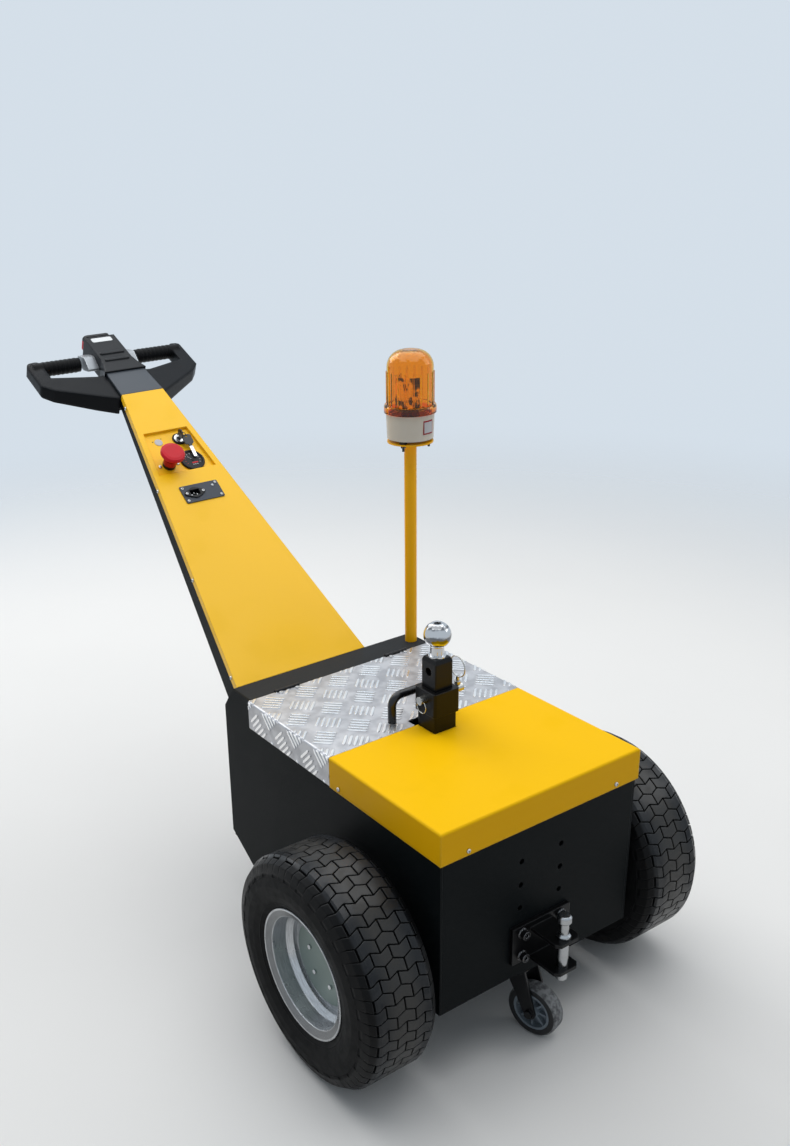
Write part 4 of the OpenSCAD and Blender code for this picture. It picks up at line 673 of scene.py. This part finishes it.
class TUG_OT_lid(bpy.types.Operator):
    """Finishes the tread plate lid and its handle"""

    bl_idname = "tug.lid"
    bl_label = "Lid"

    def execute(self, context):
        dress(tread_plate("bright_tread_plate"), "tread_lid")
        dress(paint("lid_handle_enamel", (0.005, 0.005, 0.006), 0.22, coat=0.3), "lid_handle")
        dress(self.hinge_finish(), "hinge_leaves", "lid_leaves")
        return {"FINISHED"}

    def hinge_finish(self):
        """Blackened hinges whose screws, further into the lid, are zinc plated."""
        finish = Finish("hinge_steel", (0.02, 0.02, 0.021), metallic=0.8)
        pin = JOINTS["lid_hinge"]["pos_m"][1]
        screws = 1.0 - finish.axis("Y").rise(pin - 0.007, pin - 0.006)
        scratches = finish.noise(0.004, 6.0, (1, 1, 3))
        finish.feed("Base Color", finish.blend(screws, finish.colour, STEEL_AND_EDGE_HIGHLIGHT))
        finish.feed("Roughness", 0.3 + scratches * 0.14)
        finish.relief(scratches, 0.00005)
        return finish


class TUG_OT_wheels(bpy.types.Operator):
    """Finishes the tyres, the rims and the hubs"""

    bl_idname = "tug.wheels"
    bl_label = "Wheels"

    def execute(self, context):
        for side in ("left", "right"):
            wheel = f"wheel_{side}_spin"
            dress(turf_rubber(f"turf_rubber_{side}", wheel), f"tyre_{side}")
            dress(self.rim_finish(f"silver_rim_{side}", wheel), f"rim_{side}")
        hub = paint("hub_enamel", (0.21, 0.262, 0.242), coat=0.0, base=self.hub_base)
        hub.feed("Metallic", 0.5)
        dress(hub, "hub_left", "hub_right")
        return {"FINISHED"}

    def hub_base(self, finish):
        """Grey enamel, dirty in patches, and bright screw heads that stand out of the face."""
        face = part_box("hub_right")[1][0]
        heads = abs(finish.axis("X")).rise(face - 0.0012, face - 0.001)
        dirty = finish.blend(finish.noise(0.05, 6.0) * 0.2, finish.colour, HUB_DIRT)
        return finish.blend(heads, dirty, SCREW_HEADS)

    def rim_finish(self, name, wheel):
        """Silver paint, darker where the flange turns in to the tyre's bead."""
        def base(finish):
            reach = finish.distance(JOINTS[wheel]["pos_m"], (0, 1, 1))
            bead = reach.between(*RIM_BEAD, 0.0015)
            rings = finish.noise(0.012, 6.0, (9, 0.6, 0.6)).rise(0.4, 0.65)
            worn = finish.blend(rings * 0.5, finish.colour, shade(finish.colour, 0.55))
            return finish.blend(bead * 0.8, worn, BEAD_SHADOW)

        finish = paint(name, (0.54, 0.555, 0.57), 0.24, coat=0.15, base=base)
        finish.feed("Metallic", 0.8)
        return finish


class TUG_OT_casters(bpy.types.Operator):
    """Finishes the casters' forks, cores and tyres"""

    bl_idname = "tug.casters"
    bl_label = "Casters"

    def execute(self, context):
        core = moulding("caster_core", (0.2, 0.235, 0.27), 0.32)
        fork = paint("fork_enamel", (0.006, 0.006, 0.007), 0.26)
        for end in ("front", "rear"):
            dress(core, f"{end}_caster_wheel")
            dress(caster_rubber(f"{end}_band_rubber", f"{end}_caster_roll"), f"{end}_caster_tyre")
            dress(fork, f"{end}_caster_fork")
        return {"FINISHED"}


class TUG_OT_hitches(bpy.types.Operator):
    """Finishes the receiver, the ball, the clevis and their pins"""

    bl_idname = "tug.hitches"
    bl_label = "Hitches"

    def execute(self, context):
        hitch = paint("hitch_enamel", (0.003, 0.003, 0.0033), 0.28, coat=0.1, specular=0.16,
                      edge=0.003, base=self.hitch_base)
        dress(hitch, "receiver", "ball_post", "tow_bracket")
        chrome = bare_metal("ball_chrome", (0.6, 0.605, 0.615), 0.04, grain=(1, 1, 2),
                            scratch=0.04, base=self.ball_base)
        dress(chrome, "tow_ball")
        drop_zinc = bare_metal("drop_pin_zinc", (0.44, 0.45, 0.46), 0.12, grain=(1, 1, 2),
                               dark=0.9, reach=0.0035)
        dress(drop_zinc, "drop_pin")
        pin_zinc = bare_metal("pin_zinc", (0.5, 0.49, 0.46), 0.16, grain=(1, 1, 2), dark=0.8)
        dress(pin_zinc, "cross_pin", "linch_pin")
        oxide = bare_metal("black_oxide", (0.04, 0.04, 0.043), 0.24, base=self.oxide_base)
        dress(oxide, "bracket_bolts", "beacon_nuts")
        return {"FINISHED"}

    def hitch_base(self, finish):
        """Black, with a painted highlight on its edges."""
        return finish.blend(finish.edges(0.002) * 0.5, finish.colour, HITCH_EDGE_HIGHLIGHT)

    def oxide_base(self, finish):
        """Blackened steel, with a painted highlight on its edges."""
        return finish.blend(finish.edges(0.0012) * 0.8, finish.colour, STEEL_AND_EDGE_HIGHLIGHT)

    def ball_base(self, finish):
        """Bright, with painted dark reflections in rings round the ball's top and its waist."""
        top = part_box("tow_ball")[1][2]
        down = top - finish.axis("Z") + (finish.noise(0.02, 3.0) - 0.5) * 0.016
        # Painted reflection: dark rings near the top and the waist
        rings = down.between(0.001, 0.009, 0.003) + down.between(0.017, 0.032, 0.004)
        return finish.blend(rings * 0.8, finish.colour, BALL_DARK_REFLECTION)


class TUG_OT_arm(bpy.types.Operator):
    """Finishes the arm's controls and adds their small trim"""

    bl_idname = "tug.arm"
    bl_label = "Arm controls"

    def execute(self, context):
        panel = face_frame(JOINTS["key_turn"]["pos_m"], JOINTS["key_turn"]["axis"])
        black = moulding("control_black", BLACK_PLASTIC, 0.34)
        zinc = bare_metal("control_zinc", (0.62, 0.63, 0.63), 0.22)
        dress(black, "charge_inlet", "gauge")
        dress(moulding("stop_collar", BLACK_PLASTIC, 0.34, base=self.collar_base), "estop_base")
        dress(self.key_finish(), "key")
        dress(zinc, "key_switch")
        dress(moulding("plate_blue_grey", (0.052, 0.06, 0.075), 0.42), "charge_plate")
        red = moulding("stop_red", (0.54, 0.008, 0.018), 0.3, grain_size=0.004, depth=0.00006)
        dress(red, "estop_knob")
        piece("key_bezel", ring(12.3, 16, 0, 3.4, 1), black, panel)
        self.buzzer(panel @ at(*BUZZER_PLACE), black)
        self.dial(panel @ at(*DIAL_PLACE))
        self.inlet(panel @ at(*INLET_PLACE), zinc)
        white = moulding("lamp_white", (0.6, 0.62, 0.64), 0.15)
        piece("charge_lamp", disc(3, 0, 2, 1), white, panel @ at(*CHARGE_LAMP_PLACE))
        return {"FINISHED"}

    def collar_base(self, finish):
        """The stop button's collar: black at its foot and red above."""
        key = JOINTS["key_turn"]
        upper = finish.along(key["pos_m"], key["axis"]).rise(0.0085, 0.009)
        return finish.blend(upper, finish.colour, STOP_COLLAR_RED)

    def key_finish(self):
        """Black key heads, and steel on the spare key's blade."""
        finish = Finish("key_head_and_blade", BLACK_PLASTIC)
        key = JOINTS["key_turn"]
        up = face_frame((0, 0, 0), key["axis"]).to_3x3().col[1]
        blade = 1.0 - finish.along(key["pos_m"], tuple(up)).rise(-0.0345, -0.0335)
        scratches = finish.noise(0.004, 6.0, (1, 1, 9))
        finish.feed("Base Color", finish.blend(blade, finish.colour, BRIGHT_STEEL))
        finish.feed("Metallic", blade)
        finish.feed("Roughness", 0.36 - blade * 0.12 + scratches * 0.1)
        finish.relief(scratches, 0.00006)
        return finish

    def buzzer(self, middle, black):
        """A pale disc with three small holes round it."""
        pale = moulding("buzzer_grey", (0.5, 0.5, 0.53), 0.32)
        piece("buzzer_disc", disc(9.5, 0, 1.2, 0.6), pale, middle)
        for step in range(BUZZER_HOLES):
            turn = Matrix.Rotation(math.tau * (step + 0.35) / BUZZER_HOLES, 4, "Z")
            piece(f"buzzer_hole_{step}", disc(1.3, 0, 0.2), black,
                  middle @ turn @ at(BUZZER_HOLES_OUT))

    def dial(self, middle):
        """The gauge's dial: a dark disc with pale and red ticks, a bar, marks and a needle."""
        face = moulding("dial_black", (0.012, 0.0125, 0.014), 0.4)
        pale = moulding("dial_white", (0.55, 0.56, 0.57), 0.4)
        red = moulding("dial_red", (0.55, 0.02, 0.03), 0.4)
        piece("dial_disc", disc(23, 0, DIAL_FACE), face, middle)
        for step in range(DIAL_TICKS):
            turn = Matrix.Rotation(math.radians(DIAL_START - step * DIAL_STEP), 4, "Z")
            piece(f"dial_tick_{step}", slab(3.4, 1.1, DIAL_MARK),
                  red if step < DIAL_RED_TICKS else pale,
                  middle @ turn @ at(DIAL_TICKS_OUT, 0, DIAL_FACE))
        piece("dial_red_bar", slab(15, 3.4, DIAL_MARK), red,
              middle @ at(3, -8.5, DIAL_FACE))
        for step in range(3):
            piece(f"dial_mark_{step}", slab(2.6, 2, DIAL_MARK), pale,
                  middle @ at(-3 + 5 * step, -13.5, DIAL_FACE))
        turn = Matrix.Rotation(math.radians(NEEDLE_ANGLE), 4, "Z")
        piece("dial_needle", slab(16, 0.9, 0.3), pale,
              middle @ turn @ at(6, 0, 0.5))
        piece("dial_boss", disc(3, DIAL_FACE, 1.3, 0.5), face, middle)

    def inlet(self, middle, zinc):
        """The three flat pins of the charging inlet."""
        for step, (across, up) in enumerate(INLET_PINS):
            piece(f"inlet_pin_{step}", slab(1.8, 4, 12), zinc,
                  middle @ at(across, up, -INLET_DEPTH))


class TUG_OT_handle(bpy.types.Operator):
    """Finishes the handle, its head and its throttles"""

    bl_idname = "tug.handle"
    bl_label = "Handle"

    def execute(self, context):
        handle = moulding("handle_grain", looks().handle, 0.32, grain_size=0.0016, depth=0.0002,
                          specular=0.08, edge=0.01, base=self.handle_base)
        dress(handle, "handle_frame")
        head = moulding("head_grain", shade(looks().handle, 1.2), 0.32, grain_size=0.0016,
                        depth=0.00015, specular=0.14, edge=0.005)
        dress(head, "head_housing")
        neck = moulding("neck_slate", (0.045, 0.054, 0.066), 0.38, grain_size=0.0016,
                        depth=0.00015, specular=0.3, edge=0.004)
        dress(neck, "neck_cover")
        silver = moulding("throttle_silver", (0.33, 0.35, 0.37), 0.34, base=self.throttle_base)
        silver.feed("Metallic", 0.5)
        dress(silver, "throttle_left", "throttle_right")
        belly = moulding("belly_red", (0.5, 0.012, 0.018), 0.35, grain_size=0.003, depth=0.00008,
                         base=self.belly_base)
        dress(belly, "belly_button")
        piece("head_plate", slab(52, 17, 0.5, 4), moulding("bare_plate", (0.66, 0.68, 0.69), 0.28),
              head_frame() @ at(*HEAD_PLATE_PLACE))
        return {"FINISHED"}

    def handle_base(self, finish):
        """Black plastic, worn in patches, blacker on the grips, with a painted highlight on its edges."""
        grip = head_frame() @ Vector((0, GRIP_ALONG * MM, -GRIP_BELOW * MM))
        soft = 1.0 - finish.distance(grip, (0, 1, 1)).rise(0.017, 0.024)
        plastic = finish.blend(finish.wear() * 0.25, finish.colour, shade(finish.colour, 1.3))
        grips = finish.blend(soft, plastic, GRIP_BLACK)
        # Painted highlight: paler along the edges
        return finish.blend(finish.edges(0.006) * 0.5, grips, HANDLE_EDGE_HIGHLIGHT)

    def throttle_base(self, finish):
        """Silver, dull in patches, with a painted highlight on its edges."""
        dull = finish.blend(finish.noise(0.03, 5.0) * 0.3, finish.colour, SILVER_DULL)
        return finish.blend(finish.edges(0.003), dull, SILVER_EDGE_HIGHLIGHT)

    def belly_base(self, finish):
        """The safety button: red, with a black cap along its upper edge."""
        head = head_frame()
        height = finish.along(tuple(head.translation), tuple(head.to_3x3().col[2]))
        cap = height.rise(-0.0125, -0.0115)
        return finish.blend(cap, finish.colour, shade(looks().handle, 0.8))


class TUG_OT_beacon(bpy.types.Operator):
    """Finishes the beacon and its pole"""

    bl_idname = "tug.beacon"
    bl_label = "Beacon"

    def execute(self, context):
        pole = paint("pole_enamel", (0.95, 0.46, 0.001), 0.34, coat=0.1, specular=0.15)
        dress(pole, "beacon_pole", "beacon_plate")
        dress(rubber("foot_rubber", (0.01, 0.01, 0.01)), "beacon_feet")
        dress(moulding("cream_base", (0.62, 0.575, 0.5), 0.32), "beacon_base")
        dress(self.lens_finish(), "beacon_lens")
        bulb = moulding("lamp_glass", (0.95, 0.85, 0.55), 0.12, base=self.bulb_base)
        dress(bulb, "beacon_bulb")
        mirror = bare_metal("mirror", (1.0, 0.86, 0.5), 0.08, base=self.mirror_base)
        dress(mirror, "beacon_reflector")
        self.label()
        return {"FINISHED"}

    def lens_finish(self):
        """Clear amber plastic with the soft waves of its mould, deeper on its foot and its ribs."""
        finish = Finish("amber_lens", looks().amber)
        finish.feed("Specular IOR Level", 0.3)
        finish.feed("Transmission Weight", 1.0)
        finish.feed("IOR", 1.42)
        foot_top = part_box("beacon_lens")[0][2] + LENS_FOOT * MM
        foot = 1.0 - finish.axis("Z").rise(foot_top - 0.0005, foot_top + 0.0005)
        ribs = finish.edges(0.0012) * 0.8
        finish.feed("Base Color", finish.blend(foot.most(ribs), finish.colour, LENS_DEEP))
        finish.feed("Roughness", 0.02 + finish.noise(0.01, 4.0).rise(0.5, 0.8) * 0.05)
        finish.relief(finish.noise(0.02), 0.0002, 0.0006)
        return finish

    def bulb_base(self, finish):
        """The lamp: a dark motor boss below and pale glass above."""
        low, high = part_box("beacon_bulb")
        middle = (low[2] + high[2]) / 2
        glass = finish.axis("Z").rise(middle - 0.001, middle)
        return finish.blend(glass, BULB_FOOT, finish.colour)

    def mirror_base(self, finish):
        """Gold, with dark folds."""
        folds = finish.noise(0.013, 3.0, (1, 1, 0.6)).rise(0.46, 0.56)
        return finish.blend(folds, finish.colour, MIRROR_FOLDS)

    def label(self):
        """A bare plate with a dark red border, wrapped round the base."""
        across, along, _ = JOINTS["mirror_spin"]["pos_m"]
        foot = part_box("beacon_base")[0][2]
        turn = Matrix.Rotation(math.radians(LABEL_ANGLE), 4, "Z")
        middle = Matrix.Translation((across, along, foot)) @ turn
        red = moulding("border_red", (0.3, 0.012, 0.02), 0.4)
        pale = moulding("bare_label", (0.5, 0.5, 0.52), 0.4)
        piece("beacon_border", wrapped(47.1, 16, 13, 40, 0.7), red, middle)
        piece("beacon_label", wrapped(47.2, 13.4, 15.5, 37, 0.8), pale, middle)


class TUG_OT_inside(bpy.types.Operator):
    """Finishes what is inside the body"""

    bl_idname = "tug.inside"
    bl_label = "Inside"

    def execute(self, context):
        dress(moulding("battery_case", (0.03, 0.035, 0.045), 0.5), "batteries")
        cast = paint("cast_grey", (0.16, 0.17, 0.18), 0.5, coat=0.0)
        dress(cast, "controller", "drive_motors")
        return {"FINISHED"}


class TUG_OT_stage(bpy.types.Operator):
    """Makes the floor, the backdrop, the lamps and the camera"""

    bl_idname = "tug.stage"
    bl_label = "Stage"

    def execute(self, context):
        scene = context.scene
        scene.view_settings.view_transform = "Standard"
        self.make_floor(scene)
        self.make_sky(scene)
        for name, place, size, share in LAMPS:
            self.make_lamp(scene, name, place, size, looks().lamp * share)
        self.make_camera(scene)
        return {"FINISHED"}

    def make_floor(self, scene):
        """A pale floor, which clears into the sky beyond the machine wherever it is seen."""
        mesh = bpy.data.meshes.new("floor")
        drawn = bmesh.new()
        bmesh.ops.create_grid(drawn, x_segments=1, y_segments=1, size=FLOOR_REACH)
        drawn.to_mesh(mesh)
        drawn.free()
        floor = bpy.data.objects.new("floor", mesh)
        scene.collection.objects.link(floor)
        finish = Finish("pale_floor", looks().floor)
        finish.feed("Roughness", 0.8)
        finish.feed("Specular IOR Level", 0.15)
        clouds = finish.noise(0.7, 8.0).rise(0.35, 0.75)
        finish.feed("Base Color", finish.blend(
            clouds * 0.3, finish.colour, shade(finish.colour, 0.95)))
        far = finish.distance((0, 0, 0)).rise(*FLOOR_FADE)
        solid = Field(finish, finish.shader.outputs["BSDF"])
        clear = finish.add("ShaderNodeBsdfTransparent")
        mix = finish.add("ShaderNodeMixShader", values={0: far * finish.seen(), 1: solid, 2: clear})
        finish.put(finish.tree.nodes["Material Output"].inputs["Surface"], mix)
        mesh.materials.append(finish.material)

    def make_sky(self, scene):
        """An even sky: a plain strength as light, and its own pale colour where it is seen."""
        world = bpy.data.worlds.new("soft_sky")
        world.use_nodes = True
        scene.world = world
        sky = Nodes(world.node_tree)
        background = sky.tree.nodes["Background"]
        level = sky.add("ShaderNodeMix", values={0: sky.seen(), 2: looks().sky, 3: SKY_SEEN})
        sky.put(background.inputs["Color"], SKY_COLOUR)
        sky.put(background.inputs["Strength"], level)

    def make_lamp(self, scene, name, place, size, power):
        """A square lamp that faces the machine."""
        data = bpy.data.lights.new(name, "AREA")
        data.size = size
        data.energy = power
        lamp = bpy.data.objects.new(name, data)
        lamp.location = place
        lamp.rotation_mode = "QUATERNION"
        lamp.rotation_quaternion = (LAMP_AIM - Vector(place)).to_track_quat("-Z", "Y")
        scene.collection.objects.link(lamp)

    def make_camera(self, scene):
        """The picture's camera, from its azimuth, its elevation and a small roll."""
        data = bpy.data.cameras.new("camera")
        data.sensor_width = SENSOR
        data.lens = SENSOR * FOCAL_PIXELS / PICTURE_LONG_SIDE
        data.shift_x, data.shift_y = CAMERA_SHIFT
        data.clip_end = CAMERA_REACH
        back = Vector((
            math.sin(CAMERA_AZIMUTH) * math.cos(CAMERA_ELEVATION),
            -math.cos(CAMERA_AZIMUTH) * math.cos(CAMERA_ELEVATION),
            math.sin(CAMERA_ELEVATION),
        ))
        right = Vector((math.cos(CAMERA_AZIMUTH), math.sin(CAMERA_AZIMUTH), 0))
        up = back.cross(right)
        cosine, sine = math.cos(CAMERA_ROLL), math.sin(CAMERA_ROLL)
        turn = Matrix((right * cosine + up * sine, up * cosine - right * sine, back)).transposed()
        camera = bpy.data.objects.new("camera", data)
        camera.matrix_world = Matrix.Translation(CAMERA_PLACE) @ turn.to_4x4()
        scene.collection.objects.link(camera)
        scene.camera = camera


STEPS = (
    TUG_OT_bodywork, TUG_OT_lid, TUG_OT_wheels, TUG_OT_casters, TUG_OT_hitches,
    TUG_OT_arm, TUG_OT_handle, TUG_OT_beacon, TUG_OT_inside, TUG_OT_stage,
)


class TUG_PT_looks(bpy.types.Panel):
    """Shows the tug's settings and steps in the 3D view's sidebar"""

    bl_idname = "TUG_PT_looks"
    bl_label = "Tug looks"
    bl_space_type = "VIEW_3D"
    bl_region_type = "UI"
    bl_category = "Tug"

    def draw(self, context):
        settings = context.scene.tug_looks
        for name in settings.__annotations__:
            self.layout.prop(settings, name)
        for step in STEPS:
            self.layout.operator(step.bl_idname)


CLASSES = (TugLooks, *STEPS, TUG_PT_looks)


def register():
    """Registers the classes and gives the scene its settings."""
    for item in CLASSES:
        bpy.utils.register_class(item)
    bpy.types.Scene.tug_looks = bpy.props.PointerProperty(type=TugLooks)


def unregister():
    """Takes away what register adds."""
    del bpy.types.Scene.tug_looks
    for item in reversed(CLASSES):
        bpy.utils.unregister_class(item)


def main():
    """Runs every step in order."""
    register()
    for step in STEPS:
        group, name = step.bl_idname.split(".")
        getattr(getattr(bpy.ops, group), name)()


if __name__ == "__main__":
    main()
